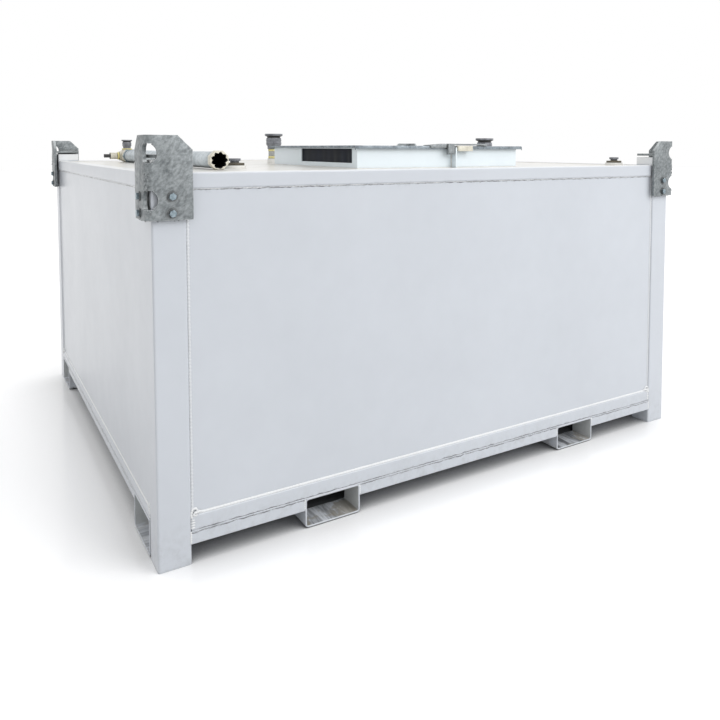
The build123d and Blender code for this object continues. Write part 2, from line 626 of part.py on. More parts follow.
def screw_cap(place):
    """Flat screwed cap: a disc on the socket, a neck and a smaller head."""
    steps = [(CAP_DISC_RADIUS, CAP_DISC_THICK), (CAP_NECK_RADIUS, CAP_NECK_HEIGHT),
             (CAP_HEAD_RADIUS, CAP_HEAD_THICK)]
    z = 0
    outline = [(0, 0)]
    for radius, height in steps:
        outline += [(radius, z), (radius, z + height)]
        z += height
    outline.append((0, z))
    return turned_piece(outline, place, DECK_TOP + SOCKET_RISE)


def vent_cap(place, z, share=1.0):
    """Free vent: a base, a cup, an air slot and a wide rim over it. A smaller one is a share of it."""
    cup_foot = VENT_BASE_HEIGHT
    cup_top = cup_foot + VENT_CUP_HEIGHT
    rim_foot = cup_top + VENT_SLOT_HEIGHT
    rim_top = rim_foot + VENT_RIM_HEIGHT
    outline = [
        (0, 0), (VENT_BASE_RADIUS, 0), (VENT_BASE_RADIUS, cup_foot),
        (VENT_CUP_RADIUS - VENT_CUP_ROUND, cup_foot), (VENT_CUP_RADIUS, cup_foot + VENT_CUP_ROUND),
        (VENT_CUP_RADIUS, cup_top - VENT_CUP_ROUND), (VENT_CUP_RADIUS - VENT_CUP_ROUND, cup_top),
        (VENT_SLOT_RADIUS, cup_top), (VENT_SLOT_RADIUS, rim_foot),
        (VENT_RIM_RADIUS, rim_foot + VENT_RIM_SLOPE), (VENT_RIM_RADIUS, rim_top), (0, rim_top),
    ]
    return turned_piece([(radius * share, height * share) for radius, height in outline], place, z)


def vent_nipple(place, length):
    """Short pipe between a socket of the deck and its vent."""
    tube = rod(NIPPLE_RADIUS, VENT_FOOT, VENT_FOOT + length, "Z")
    tube -= rod(NIPPLE_RADIUS - NIPPLE_WALL, VENT_FOOT - 1, VENT_FOOT + length + 1, "Z")
    return Pos(*place, 0) * tube


def transfer_pipe():
    """Open pipe that lies along the left side of the deck."""
    tube = rod(PIPE_RADIUS, PIPE_FRONT, PIPE_BACK, "Y")
    tube -= rod(PIPE_RADIUS - PIPE_WALL, PIPE_FRONT - 1, PIPE_BACK + 1, "Y")
    return Pos(PIPE_X, 0, PIPE_Z) * tube


def pipe_end_ring():
    """Eight-sided nut on the open end of the pipe, resting on a flat."""
    nut = RegularPolygon(TEE_RADIUS, 8, major_radius=False, rotation=180 / 8)
    ring = extrude(Plane.XZ * nut, -PIPE_RING_LENGTH)
    ring = chamfer(ring.faces().sort_by(Axis.Y)[0].edges(), PIPE_RING_CHAMFER)
    ring -= rod(PIPE_RADIUS + SOCKET_CLEARANCE, -1, PIPE_RING_LENGTH + 1, "Y")
    return Pos(PIPE_X, PIPE_FRONT, PIPE_Z) * ring


def pipe_tee():
    """Tee on the end of the transfer pipe, with a branch up and a branch to the left."""
    reach = TEE_RADIUS + TEE_BRANCH_RISE
    tee = rod(TEE_RADIUS, -TEE_LENGTH / 2, TEE_LENGTH / 2, "Y")
    tee += rod(TEE_BRANCH_RADIUS, 0, reach, "Z")
    tee += rod(TEE_BRANCH_RADIUS, -reach, 0, "X")
    return Pos(PIPE_X, TEE_Y, PIPE_Z) * tee


def tee_valve():
    """Small valve on the left branch of the tee, with its lever in front."""
    start = PIPE_X - TEE_RADIUS - TEE_BRANCH_RISE
    middle = start - VALVE_LENGTH / 2
    lever_back = TEE_Y - VALVE_RADIUS - LEVER_THICK
    body = Pos(0, TEE_Y, PIPE_Z) * rod(VALVE_RADIUS, start - VALVE_LENGTH, start, "X")
    stem = Pos(middle, 0, PIPE_Z) * rod(LEVER_WIDTH / 2 - LEVER_THICK, lever_back, TEE_Y, "Y")
    lever = block(middle - LEVER_LENGTH, middle + LEVER_WIDTH / 2, lever_back - LEVER_THICK, lever_back,
                  PIPE_Z - LEVER_WIDTH / 2, PIPE_Z + LEVER_WIDTH / 2)
    return body + stem + lever


# Frame, bund and fork pockets
for corner, (side_x, side_y) in CORNERS.items():
    save("corner_post_" + corner, to_corner(corner_post(), side_x, side_y))
    save("lifting_bracket_" + corner, to_corner(lifting_bracket(), side_x, side_y))
save("bracket_packers", *[to_corner(p, *sides) for sides in CORNERS.values() for p in packers()])
save("bracket_bolts", *[to_corner(b, *sides) for sides in CORNERS.values() for b in bracket_bolts()])
for side, rail in rails(RIM_HEIGHT - RAIL, RIM_HEIGHT - RAIL).items():
    save("top_rail_" + side, rail)
for side, rail in rails(BASE_Z, CROSS_TOP).items():
    save("bottom_rail_" + side, rail)
for side, panel in panels().items():
    save("panel_" + side, panel)
save("bund_floor", *bund_floor())
save("edge_bars_front", *edge_bars(-1))
save("edge_bars_back", *edge_bars(1))
save("edge_bar_left", side_bar(-1))
save("edge_bar_right", side_bar(1))
save("fork_pocket_left", *long_pocket(-1))
save("fork_pocket_right", *long_pocket(1))
save("cross_pocket_front", cross_pocket(-1))
save("cross_pocket_back", cross_pocket(1))
save("inner_tank", inner_tank())

# Deck, equipment bay and lid
save("deck", deck())
for side, wall in bay_walls().items():
    save("bay_wall_" + side, wall)
save("bay_floor", block(BAY_LEFT, BAY_RIGHT, BAY_FRONT, BAY_BACK, BAY_FLOOR - BAY_WALL, BAY_FLOOR))
save("hose_flap", hose_flap())
save("lock_post", lock_post())
save("hinge_frame_halves", *hinge_frame_halves())
save("bay_lid", bay_lid())
save("lock_bar", lock_bar())
save("lid_pull", lid_pull())

# Sockets, caps and vents
save("deck_sockets", *[deck_socket(*socket) for socket in sockets()])
save("fill_cap", screw_cap(FILL_CAP))
save("dip_cap", screw_cap(DIP_CAP))
save("vent_nipples", vent_nipple(TANK_VENT, TANK_NIPPLE_LENGTH), vent_nipple(BUND_VENT, BUND_NIPPLE_LENGTH))
save("tank_vent", vent_cap(TANK_VENT, VENT_FOOT + TANK_NIPPLE_LENGTH))
save("bund_vent", vent_cap(BUND_VENT, VENT_FOOT + BUND_NIPPLE_LENGTH))

# Transfer pipe on the deck
save("transfer_pipe", transfer_pipe())
save("pipe_end_ring", pipe_end_ring())
save("pipe_tee", pipe_tee())
save("tee_vent", vent_cap((PIPE_X, TEE_Y), PIPE_Z + TEE_RADIUS + TEE_BRANCH_RISE, TEE_VENT_SHARE))
save("tee_valve", tee_valve())
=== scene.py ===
import math
import random

import bmesh
import bpy
from bpy.props import FloatProperty, FloatVectorProperty, IntProperty, PointerProperty
from mathutils import Matrix, Vector


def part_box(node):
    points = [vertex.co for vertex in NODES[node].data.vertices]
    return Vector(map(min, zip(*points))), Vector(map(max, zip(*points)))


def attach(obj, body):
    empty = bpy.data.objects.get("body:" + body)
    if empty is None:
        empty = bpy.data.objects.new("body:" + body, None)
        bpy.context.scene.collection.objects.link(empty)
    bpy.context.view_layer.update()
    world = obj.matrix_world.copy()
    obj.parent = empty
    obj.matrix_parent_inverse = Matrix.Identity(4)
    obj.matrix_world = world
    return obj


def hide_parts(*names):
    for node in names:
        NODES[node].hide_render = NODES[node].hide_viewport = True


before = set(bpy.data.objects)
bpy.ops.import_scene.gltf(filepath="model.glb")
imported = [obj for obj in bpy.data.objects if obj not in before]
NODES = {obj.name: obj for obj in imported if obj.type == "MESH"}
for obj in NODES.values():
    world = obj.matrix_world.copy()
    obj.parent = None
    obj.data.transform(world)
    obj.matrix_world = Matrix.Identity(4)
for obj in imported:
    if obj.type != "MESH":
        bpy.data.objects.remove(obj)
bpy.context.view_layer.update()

bl_info = {
    "name": "Bunded Fuel Tank",
    "version": (1, 0, 0),
    "blender": (4, 5, 0),
    "location": "3D View > Sidebar > Fuel Tank",
    "description": "Paint, galvanising, welds, bolts and small fittings of a bunded diesel fuel tank",
    "category": "Add Mesh",
}

# Sizes are in metres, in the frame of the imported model: X right, Y back, Z up from the ground.
UP = (0.0, 0.0, 1.0)

CORNERS = ("front_left", "front_right", "back_left", "back_right")
WALLS = ("front", "right", "back", "left")
X_WALLS = ("front", "back")
Y_WALLS = ("left", "right")

# The direction along each wall, with the wall seen from outside, and the direction out of it
WALL_RUN = {"front": Vector((1, 0, 0)), "right": Vector((0, 1, 0)), "back": Vector((-1, 0, 0)),
            "left": Vector((0, -1, 0))}
WALL_OUT = {"front": Vector((0, -1, 0)), "right": Vector((1, 0, 0)), "back": Vector((0, 1, 0)),
            "left": Vector((-1, 0, 0))}


def side_of(node, axis, end):
    """The lowest (end 0) or highest (end 1) value of a CAD node's box on one axis."""
    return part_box(node)[end][axis]


def rail_under(wall):
    """The underside of a wall's bottom rail, which lies higher at the sides."""
    return side_of("bottom_rail_" + wall, 2, 0)


# Main places, read from the frame
HALF_X = side_of("corner_post_front_right", 0, 1)
HALF_Y = -side_of("corner_post_front_left", 1, 0)
POST_SIDE = side_of("corner_post_front_right", 0, 1) - side_of("corner_post_front_right", 0, 0)
RIM_TOP = side_of("top_rail_front", 2, 1)
RIM_UNDER = side_of("top_rail_front", 2, 0)
RAIL_TOP = side_of("bottom_rail_front", 2, 1)
RAIL_SIDE = RIM_TOP - RIM_UNDER
DECK_TOP = side_of("deck", 2, 1)
BAR_UNDER = side_of("edge_bars_front", 2, 0)
SIDE_BAR_UNDER = side_of("edge_bar_left", 2, 0)
PANEL_SET = HALF_Y + side_of("panel_front", 1, 0)


class Wiring:
    """Adds the nodes of one tree and joins them. A tone is three numbers: red, green and blue."""

    def __init__(self, tree):
        self.tree = tree

    def add(self, kind, sockets=None, **settings):
        """A node with its settings made first, and then its sockets set or joined by name or number."""
        node = self.tree.nodes.new(kind)
        for name, value in settings.items():
            setattr(node, name, value)
        for socket, value in (sockets or {}).items():
            self.join(value, node.inputs[socket])
        return node

    def join(self, value, socket):
        if isinstance(value, bpy.types.NodeSocket):
            self.tree.links.new(value, socket)
        else:
            socket.default_value = value

    def maths(self, operation, *values, clamp=False):
        node = self.add("ShaderNodeMath", dict(enumerate(values)), operation=operation, use_clamp=clamp)
        return node.outputs[0]

    def product(self, *values):
        """Values multiplied together, and then held between 0 and 1."""
        whole = values[0]
        for value in values[1:-1]:
            whole = self.maths("MULTIPLY", whole, value)
        return self.maths("MULTIPLY", whole, values[-1], clamp=True)

    def mixture(self, share, first, second):
        """A number between two others, by a share that is the same all over."""
        return self.maths("ADD", self.maths("MULTIPLY", first, 1.0 - share),
                          self.maths("MULTIPLY", second, share))

    def swing(self, value, amount):
        """How far a value lies from a half, times an amount."""
        return self.maths("MULTIPLY", self.maths("SUBTRACT", value, 0.5), amount)

    def vector_maths(self, operation, *values):
        node = self.add("ShaderNodeVectorMath", dict(enumerate(values)), operation=operation)
        return node.outputs[1 if operation in ("DOT_PRODUCT", "LENGTH") else 0]

    def scaled(self, vector, factor):
        node = self.add("ShaderNodeVectorMath", {0: vector, "Scale": factor}, operation="SCALE")
        return node.outputs[0]

    def ramp(self, value, low, high, start=0.0, end=1.0):
        """A value carried from one range to another and held at its ends."""
        node = self.add("ShaderNodeMapRange", {0: value, 1: low, 2: high, 3: start, 4: end}, clamp=True)
        return node.outputs[0]

    def blend(self, share, first, second):
        """A colour between two others, each of them a socket or a tone."""
        first, second = [tone if isinstance(tone, bpy.types.NodeSocket) else (*tone, 1.0)
                         for tone in (first, second)]
        return self.add("ShaderNodeMix", {0: share, 6: first, 7: second}, data_type="RGBA").outputs[2]

    def noise(self, vector, scale, detail=3.0, roughness=0.5):
        return self.add("ShaderNodeTexNoise", {"Vector": vector, "Scale": scale, "Detail": detail,
                                               "Roughness": roughness}).outputs[0]

    def place(self):
        """A point's place on the object."""
        return self.add("ShaderNodeTexCoord").outputs["Object"]

    def part(self, vector, axis):
        """A vector's number on an axis: 0, 1 or 2 for X, Y or Z."""
        return self.add("ShaderNodeSeparateXYZ", {0: vector}).outputs[axis]

    def looking_up(self, low, high):
        """One on faces that look up, and nothing on those that look up by less than low."""
        normal = self.add("ShaderNodeNewGeometry").outputs["Normal"]
        return self.ramp(self.vector_maths("DOT_PRODUCT", normal, UP), low, high)


# Shader effects that several finishes share

def effect(name, inputs, fill, outputs=("Mask",)):
    """A shader group with named inputs and outputs, made the first time that it is asked for."""
    tree = bpy.data.node_groups.get(name)
    if tree is not None:
        return tree
    tree = bpy.data.node_groups.new(name, "ShaderNodeTree")
    for label, value in inputs.items():
        kind = "NodeSocketVector" if isinstance(value, tuple) else "NodeSocketFloat"
        socket = tree.interface.new_socket(name=label, in_out="INPUT", socket_type=kind)
        socket.default_value = value
    for label in outputs:
        tree.interface.new_socket(name=label, in_out="OUTPUT", socket_type="NodeSocketFloat")
    w = Wiring(tree)
    start = tree.nodes.new("NodeGroupInput")
    end = tree.nodes.new("NodeGroupOutput")
    for label, value in fill(w, start.outputs, w.place()).items():
        w.join(value, end.inputs[label])
    return tree


def crevice_dirt():
    """Painted shade and grime in corners, along beads and in joints, where ambient occlusion finds them,
    broken into patches.
    """
    def fill(w, given, place):
        shade = w.add("ShaderNodeAmbientOcclusion", {"Distance": given["Reach"]}, samples=6)
        open_part = w.maths("POWER", shade.outputs["AO"], given["Sharpness"])
        patches = w.ramp(w.noise(place, given["Patch Scale"], 4.0), 0.3, 0.7, 0.35, 1.0)
        return {"Mask": w.product(w.maths("SUBTRACT", 1.0, open_part), patches, given["Amount"])}
    return effect("Crevice Dirt", {"Reach": 0.02, "Sharpness": 1.5, "Patch Scale": 14.0,
                                   "Amount": 1.0}, fill)


def edge_wear():
    """Wear and bright metal along edges."""
    def fill(w, given, place):
        rounded = w.add("ShaderNodeBevel", {"Radius": given["Width"]}, samples=6).outputs[0]
        true = w.add("ShaderNodeNewGeometry").outputs["Normal"]
        turned = w.maths("SUBTRACT", 1.0, w.vector_maths("DOT_PRODUCT", rounded, true))
        broken = w.ramp(w.noise(place, given["Patch Scale"], 5.0, 0.6), 0.42, 0.58)
        return {"Mask": w.product(w.ramp(turned, 0.01, 0.14), broken, given["Amount"])}
    return effect("Edge Wear", {"Width": 0.003, "Patch Scale": 60.0, "Amount": 1.0}, fill)


def mottle():
    """Cloudy change of tone at two scales."""
    def fill(w, given, place):
        stretched = w.vector_maths("MULTIPLY", place, given["Stretch"])
        broad = w.noise(stretched, given["Scale"], 3.0)
        fine = w.noise(stretched, w.maths("MULTIPLY", given["Scale"], 5.0), 4.0, 0.6)
        clouds = w.swing(w.mixture(0.35, broad, fine), given["Contrast"])
        return {"Value": w.maths("ADD", clouds, 0.5, clamp=True)}
    return effect("Mottle", {"Scale": 4.0, "Stretch": (1.0, 1.0, 1.0), "Contrast": 2.0}, fill, ["Value"])


def orange_peel():
    """The fine skin of sprayed enamel over plate that is not quite flat."""
    def fill(w, given, place):
        layers = [w.maths("MULTIPLY", w.noise(place, given[layer + " Scale"], 2.0), given[layer + " Height"])
                  for layer in ("Skin", "Plate")]
        return {"Height": w.maths("ADD", *layers)}
    return effect("Orange Peel", {"Skin Scale": 420.0, "Skin Height": 0.00006, "Plate Scale": 3.2,
                                  "Plate Height": 0.0016}, fill, ["Height"])


def spangle():
    """Zinc crystals of galvanised steel: a tone for each crystal and a little relief."""
    def fill(w, given, place):
        bent = w.add("ShaderNodeTexNoise", {"Vector": place, "Scale": given["Scale"], "Detail": 2.0})
        moved = w.vector_maths("ADD", place, w.scaled(bent.outputs[1], 0.006))
        cells = w.add("ShaderNodeTexVoronoi", {"Vector": moved, "Scale": given["Scale"]})
        tone = w.add("ShaderNodeSeparateColor", {0: cells.outputs["Color"]}).outputs[0]
        return {"Tone": tone, "Height": w.maths("MULTIPLY", tone, given["Relief"])}
    return effect("Spangle", {"Scale": 160.0, "Relief": 0.00008}, fill, ["Tone", "Height"])


def runs():
    """Streaks that run down upright faces."""
    def fill(w, given, place):
        streak = w.noise(w.vector_maths("MULTIPLY", place, (1.0, 1.0, 0.09)), given["Scale"], 5.0, 0.62)
        return {"Mask": w.product(w.ramp(streak, given["Start"], 0.72), given["Amount"])}
    return effect("Runs", {"Scale": 55.0, "Start": 0.5, "Amount": 1.0}, fill)


def upward():
    """Where painted top light goes: one on faces that look up."""
    def fill(w, given, place):
        return {"Mask": w.product(w.looking_up(given["Start"], given["End"]), given["Amount"])}
    return effect("Upward", {"Start": 0.5, "End": 0.8, "Amount": 1.0}, fill)


def settled_dust():
    """Dust on faces that look up."""
    def fill(w, given, place):
        cloud = w.ramp(w.noise(place, given["Scale"], 6.0, 0.6), 0.38, 0.68)
        return {"Mask": w.product(w.looking_up(0.6, 0.95), cloud, given["Amount"])}
    return effect("Settled Dust", {"Scale": 9.0, "Amount": 1.0}, fill)


def ground_splash():
    """Splashed dirt near the ground, thinning out upwards."""
    def fill(w, given, place):
        low = w.ramp(w.part(place, 2), 0.0, given["Reach"], 1.0, 0.0)
        specks = w.ramp(w.noise(place, given["Scale"], 8.0, 0.7), 0.46, 0.64)
        return {"Mask": w.product(low, specks, given["Amount"])}
    return effect("Ground Splash", {"Reach": 0.2, "Scale": 26.0, "Amount": 1.0}, fill)


def inside_box():
    """One inside a box and nothing outside it, with a ragged edge."""
    def fill(w, given, place):
        ragged = w.swing(w.noise(place, 70.0, 4.0), given["Ragged"])
        centred = w.vector_maths("ABSOLUTE", w.vector_maths("SUBTRACT", place, given["Centre"]))
        left_over = w.vector_maths("SUBTRACT", given["Half Size"], centred)
        across, along, up = w.add("ShaderNodeSeparateXYZ", {0: left_over}).outputs
        nearest = w.maths("MINIMUM", w.maths("MINIMUM", across, along), up)
        return {"Mask": w.ramp(w.maths("ADD", nearest, ragged), -0.0005, 0.0005)}
    return effect("Inside Box", {"Centre": (0.0, 0.0, 0.0), "Half Size": (0.1, 0.1, 0.1),
                                 "Ragged": 0.0}, fill)


def seam_grime():
    """Two broken dark lines along a level seam, wandering as the bead in it does, with smudges."""
    def fill(w, given, place):
        flat = w.vector_maths("MULTIPLY", place, (1.0, 1.0, 0.0))
        wobble = w.swing(w.noise(flat, 42.0, 4.0), given["Wander"])
        over = w.maths("SUBTRACT", w.part(place, 2), given["Height"])
        off = w.maths("ABSOLUTE", w.maths("ADD", over, wobble))
        beside = w.maths("ABSOLUTE", w.maths("SUBTRACT", off, given["Half Gap"]))
        line = w.ramp(w.maths("DIVIDE", beside, given["Width"]), 0.3, 1.0, 1.0, 0.0)
        line = w.maths("MULTIPLY", line, w.ramp(w.noise(flat, 10.0, 7.0, 0.72), 0.38, 0.52, 0.4, 1.0))
        near = w.ramp(w.maths("DIVIDE", off, given["Width"]), 0.5, 4.5, 1.0, 0.0)
        spots = w.ramp(w.noise(place, 34.0, 6.0, 0.66), 0.5, 0.62)
        smudges = w.maths("MULTIPLY", w.maths("MULTIPLY", near, spots), given["Smudges"])
        return {"Mask": w.product(w.maths("MAXIMUM", line, smudges), given["Amount"])}
    return effect("Seam Grime", {"Height": 0.1, "Half Gap": 0.0, "Width": 0.0026, "Wander": 0.013,
                                 "Smudges": 0.5, "Amount": 1.0}, fill)


def brushing():
    """Fine lines along one direction, as a grinder's flap disc leaves them under the zinc."""
    def fill(w, given, place):
        along = w.vector_maths("DOT_PRODUCT", place, given["Direction"])
        back = w.scaled(given["Direction"], w.maths("MULTIPLY", along, -0.92))
        lines = w.noise(w.vector_maths("ADD", place, back), given["Scale"], 5.0, 0.62)
        return {"Value": w.ramp(lines, 0.38, 0.62)}
    return effect("Brushing", {"Direction": (0.577, 0.577, 0.577), "Scale": 120.0}, fill, ["Value"])


# Finishes

# Each *_GRIME_AND_SHADE tone colours the painted shade and grime in corners, and the splashed grime near the
# ground where a finish has it
DIRT = (0.2, 0.2, 0.19)
BEAD_DIRT = (0.25, 0.25, 0.25)
UPRIGHT_DIRT = (0.2, 0.2, 0.2)
DECK_DIRT = (0.34, 0.31, 0.26)
BAY_DIRT = (0.22, 0.22, 0.21)
DUST = (0.62, 0.6, 0.55)
SEAM_DIRT = (0.085, 0.085, 0.095)


def finish_of(name, build):
    """A material by name, made the first time that it is asked for. build returns what feeds its shader."""
    material = bpy.data.materials.get(name)
    if material is not None:
        return material
    material = bpy.data.materials.new(name)
    material.use_nodes = True
    tree = material.node_tree
    tree.nodes.clear()
    w = Wiring(tree)
    output = tree.nodes.new("ShaderNodeOutputMaterial")
    shader = w.add("ShaderNodeBsdfPrincipled")
    tree.links.new(shader.outputs[0], output.inputs["Surface"])
    fed = build(w)
    height = fed.pop("Height", None)
    if height is not None:
        bump = w.add("ShaderNodeBump", {"Strength": 1.0, "Distance": 1.0, "Height": height})
        fed["Normal"] = bump.outputs[0]
    for socket, value in fed.items():
        w.join(value, shader.inputs[socket])
    return material


def use(w, tree, **given):
    """Places an effect in a material with its own values. Words of a name are joined by an underline."""
    node = w.add("ShaderNodeGroup", node_tree=tree)
    for name, value in given.items():
        w.join(value, node.inputs[name.replace("_", " ")])
    return node.outputs


def paint():
    """The settings of the paint."""
    return bpy.context.scene.tank_paint


def darker(tone, share):
    """A tone brought down to a share of itself."""
    return [value * share for value in tone]


def enamel(name, tone, dirt=DIRT, splash=0.6, dust=0.25, plate=0.0016, seam=None, half_gap=0.0,
           smudges=0.5, pale_up=0.0, pale_above=None):
    """Sprayed white enamel: cloudy tone, painted shade and grime in the corners, splashes near the ground,
    dust on top.
    A seam is the height of a level seam with a dark line along it. As painted light, the tone turns paler on
    faces that look up, by the share pale_up, and above the height pale_above."""
    look = paint()
    fade = 0.008        # height over which the painted light turns the tone paler

    def build(w):
        cloud = use(w, mottle(), Scale=2.6, Contrast=2.2)["Value"]
        base = w.blend(cloud, darker(tone, look.cloud), tone)
        # Painted shade and grime in the corners, from ambient occlusion
        corners = use(w, crevice_dirt(), Reach=look.dirt_reach, Sharpness=1.3, Amount=look.dirt)["Mask"]
        low = use(w, ground_splash(), Amount=splash)["Mask"]
        top = use(w, settled_dust(), Amount=dust)["Mask"]
        base = w.blend(w.maths("MULTIPLY", low, 0.35), base, dirt)
        base = w.blend(top, base, DUST)
        base = w.blend(corners, base, dirt)
        # Painted top light: faces that look up turn towards the brighter bead tone
        if pale_up:
            base = w.blend(use(w, upward(), Amount=pale_up)["Mask"], base, look.bead)
        # Painted light: the tone turns to the brighter bead tone above a height
        if pale_above is not None:
            base = w.blend(w.ramp(w.part(w.place(), 2), pale_above, pale_above + fade), base, look.bead)
        # A dark line along a level seam: painted shade under a top rail, grime in a sill's joint
        if seam is not None:
            line = use(w, seam_grime(), Height=seam, Half_Gap=half_gap, Smudges=smudges,
                       Amount=look.seam_grime)["Mask"]
            base = w.blend(line, base, SEAM_DIRT)
        roughness = w.ramp(cloud, 0.0, 1.0, look.roughness + 0.06, look.roughness - 0.03)
        dull = w.maths("MULTIPLY", w.maths("MAXIMUM", corners, top), 0.35)
        return {"Base Color": base, "Roughness": w.maths("ADD", roughness, dull),
                "Height": use(w, orange_peel(), Plate_Height=plate)["Height"],
                "Coat Weight": 0.25, "Coat Roughness": 0.12}
    return finish_of(name, build)


def tank_enamel():
    return enamel("tank_enamel", paint().body)


def post_enamel():
    """The enamel of the posts, with their heads over the rim painted paler as painted light."""
    return enamel("post_enamel", paint().body, pale_above=RIM_TOP)


def wall_enamel():
    """The enamel of the panels and the top rails: a dark line of painted shade under the top rails, and
    painted top light on faces that look up.
    """
    seam_drop = 0.0024
    return enamel("wall_enamel", paint().body, seam=RIM_UNDER - seam_drop, smudges=0.2, pale_up=0.9)


def sill_enamel(wall):
    """The enamel of a bottom rail and the edge bar under it, with the dirty seam between them."""
    return enamel("sill_enamel_" + wall, paint().body, splash=0.8, seam=rail_under(wall), half_gap=0.0034)


def upright_enamel():
    """The enamel on the upright beads, between the panel's tone and the beads' brighter tone of painted
    highlight.
    """
    middle = [(body + bead) / 2 for body, bead in zip(paint().body, paint().bead)]
    return enamel("upright_enamel", middle, UPRIGHT_DIRT, splash=0.2, dust=0.0)


def bead_enamel():
    """The enamel on weld beads, brighter than the panels as a painted highlight where they catch the light.
    """
    return enamel("bead_enamel", paint().bead, BEAD_DIRT, splash=0.2, dust=0.0)


def deck_enamel():
    return enamel("deck_enamel", paint().deck, DECK_DIRT, dust=0.35, plate=0.003)


# Paler than the body's enamel as painted light; see the bay tone
def bay_enamel():
    return enamel("bay_enamel", paint().bay, BAY_DIRT, splash=0.0)


def pocket_enamel(node, run):
    """Enamel outside and in the mouths of a fork pocket, worn and dirty inside, with painted shade far in and
    in its corners.
    The pocket runs along the axis run."""
    look = paint()
    low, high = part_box(node)
    centre = (low + high) / 2
    half = (high - low) / 2 - Vector.Fill(3, look.pocket_wall) * 0.5
    mouth = half[run]
    half[run] = 10.0                       # open at both ends
    stretch = tuple(0.12 if axis == run else 1.0 for axis in range(3))
    scraped = 0.72 if run == 1 else 0.3    # forks mostly come from the front
    dark_from, dark_at = 0.12, 0.34        # in from the mouth

    def build(w):
        inside = use(w, inside_box(), Centre=tuple(centre), Half_Size=tuple(half), Ragged=0.004)["Mask"]
        cloud = use(w, mottle(), Scale=9.0, Contrast=2.6)["Value"]
        walls = w.blend(cloud, (0.5, 0.52, 0.52), (0.68, 0.7, 0.71))
        scrapes = use(w, mottle(), Scale=22.0, Stretch=stretch, Contrast=6.0)["Value"]
        bottom = w.blend(scrapes, darker(look.body, 1.0 - scraped), (0.8, 0.83, 0.88))
        sand = w.ramp(use(w, mottle(), Scale=7.0, Contrast=5.0)["Value"], 0.5, 0.75)
        bottom = w.blend(w.maths("MULTIPLY", sand, scraped), bottom, (0.36, 0.33, 0.27))
        worn = w.blend(w.looking_up(0.5, 0.9), walls, bottom)
        clean = w.blend(cloud, darker(look.body, look.cloud), look.body)
        splashed = use(w, ground_splash(), Reach=0.12, Amount=0.7)["Mask"]
        clean = w.blend(splashed, clean, (0.36, 0.35, 0.33))
        base = w.blend(inside, clean, worn)
        # Painted shade: the pocket turns near black far in from its mouths
        from_centre = w.maths("ABSOLUTE", w.maths("SUBTRACT", w.part(w.place(), run), centre[run]))
        deep = w.ramp(from_centre, mouth - dark_at, mouth - dark_from, 0.9, 0.0)
        base = w.blend(w.maths("MULTIPLY", deep, inside), base, (0.03, 0.03, 0.033))
        # Painted shade and grime in the corners
        corners = use(w, crevice_dirt(), Reach=look.dirt_reach, Amount=look.dirt)["Mask"]
        base = w.blend(corners, base, (0.12, 0.12, 0.12))
        return {"Base Color": base, "Roughness": w.ramp(inside, 0.0, 1.0, 0.36, 0.62),
                "Metallic": w.maths("MULTIPLY", inside, 0.1),
                "Height": use(w, orange_peel())["Height"], "Coat Weight": 0.1}
    return finish_of("pocket_" + node, build)


def galvanised(name, light, dark, streak=0.5, crystal=160.0, wear=0.7, brushed=0.0, cloud_scale=15.0,
               bore=None, pale_up=0.0):
    """Hot dip galvanising that has stood outside: crystals, clouds, brushed lines, streaks, light worn edges
    that also serve as a painted highlight, and painted shade and grime in corners. A hole along Y, given as
    (middle, radius) by bore, is painted near black inside as shade. As painted top light, the tone turns
    paler on faces that look up, by the share pale_up."""
    look = bpy.context.scene.tank_metal

    def build(w):
        crystals = use(w, spangle(), Scale=crystal, Relief=0.00006)
        cloud = use(w, mottle(), Scale=cloud_scale, Contrast=3.4)["Value"]
        mixed = w.mixture(look.crystal_share, cloud, crystals["Tone"])
        if brushed:
            mixed = w.mixture(brushed, mixed, use(w, brushing())["Value"])
        base = w.blend(mixed, dark, light)
        streaks = use(w, runs(), Amount=streak)["Mask"]
        base = w.blend(streaks, base, darker(dark, 0.55))
        # Light worn edges, which also serve as a painted highlight along lit edges such as the holes' rims
        pale = use(w, edge_wear(), Width=0.0025, Amount=wear)["Mask"]
        base = w.blend(pale, base, (0.72, 0.74, 0.75))
        # Painted top light on faces that look up
        if pale_up:
            base = w.blend(use(w, upward(), Amount=pale_up)["Mask"], base, (0.78, 0.82, 0.83))
        # Painted shade and grime in the corners
        corners = use(w, crevice_dirt(), Reach=0.015, Sharpness=1.9, Amount=0.95)["Mask"]
        base = w.blend(corners, base, (0.06, 0.055, 0.05))
        place = w.place()
        # Painted shade: near black inside the hole
        if bore is not None:
            middle, radius = bore
            off = w.vector_maths("SUBTRACT", place, tuple(middle))
            reach = w.vector_maths("LENGTH", w.vector_maths("MULTIPLY", off, (1.0, 0.0, 1.0)))
            within = w.ramp(reach, radius - 0.0004, radius + 0.0004, 1.0, 0.0)
            base = w.blend(within, base, (0.012, 0.012, 0.013))
        lumps = w.maths("MULTIPLY", w.noise(place, 120.0, 4.0, 0.6), 0.0003)
        return {"Base Color": base, "Metallic": w.ramp(streaks, 0.0, 1.0, look.metal, look.metal * 0.6),
                "Roughness": w.ramp(mixed, 0.0, 1.0, 0.58, 0.36),
                "Height": w.maths("ADD", lumps, crystals["Height"])}
    return finish_of(name, build)


def bracket_zinc():
    look = bpy.context.scene.tank_metal
    return galvanised("bracket_zinc", look.zinc_light, look.zinc_dark, streak=0.3, brushed=0.55,
                      pale_up=0.75)


def lid_zinc():
    return galvanised("lid_zinc", (0.36, 0.41, 0.45), (0.13, 0.155, 0.18), crystal=110.0, cloud_scale=34.0)


def pipe_zinc():
    low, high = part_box("transfer_pipe")
    radius = (high.x - low.x) / 2 * 0.985
    return galvanised("pipe_zinc", (0.7, 0.76, 0.8), (0.38, 0.43, 0.46), streak=0.15, crystal=210.0,
                      bore=((low + high) / 2, radius))


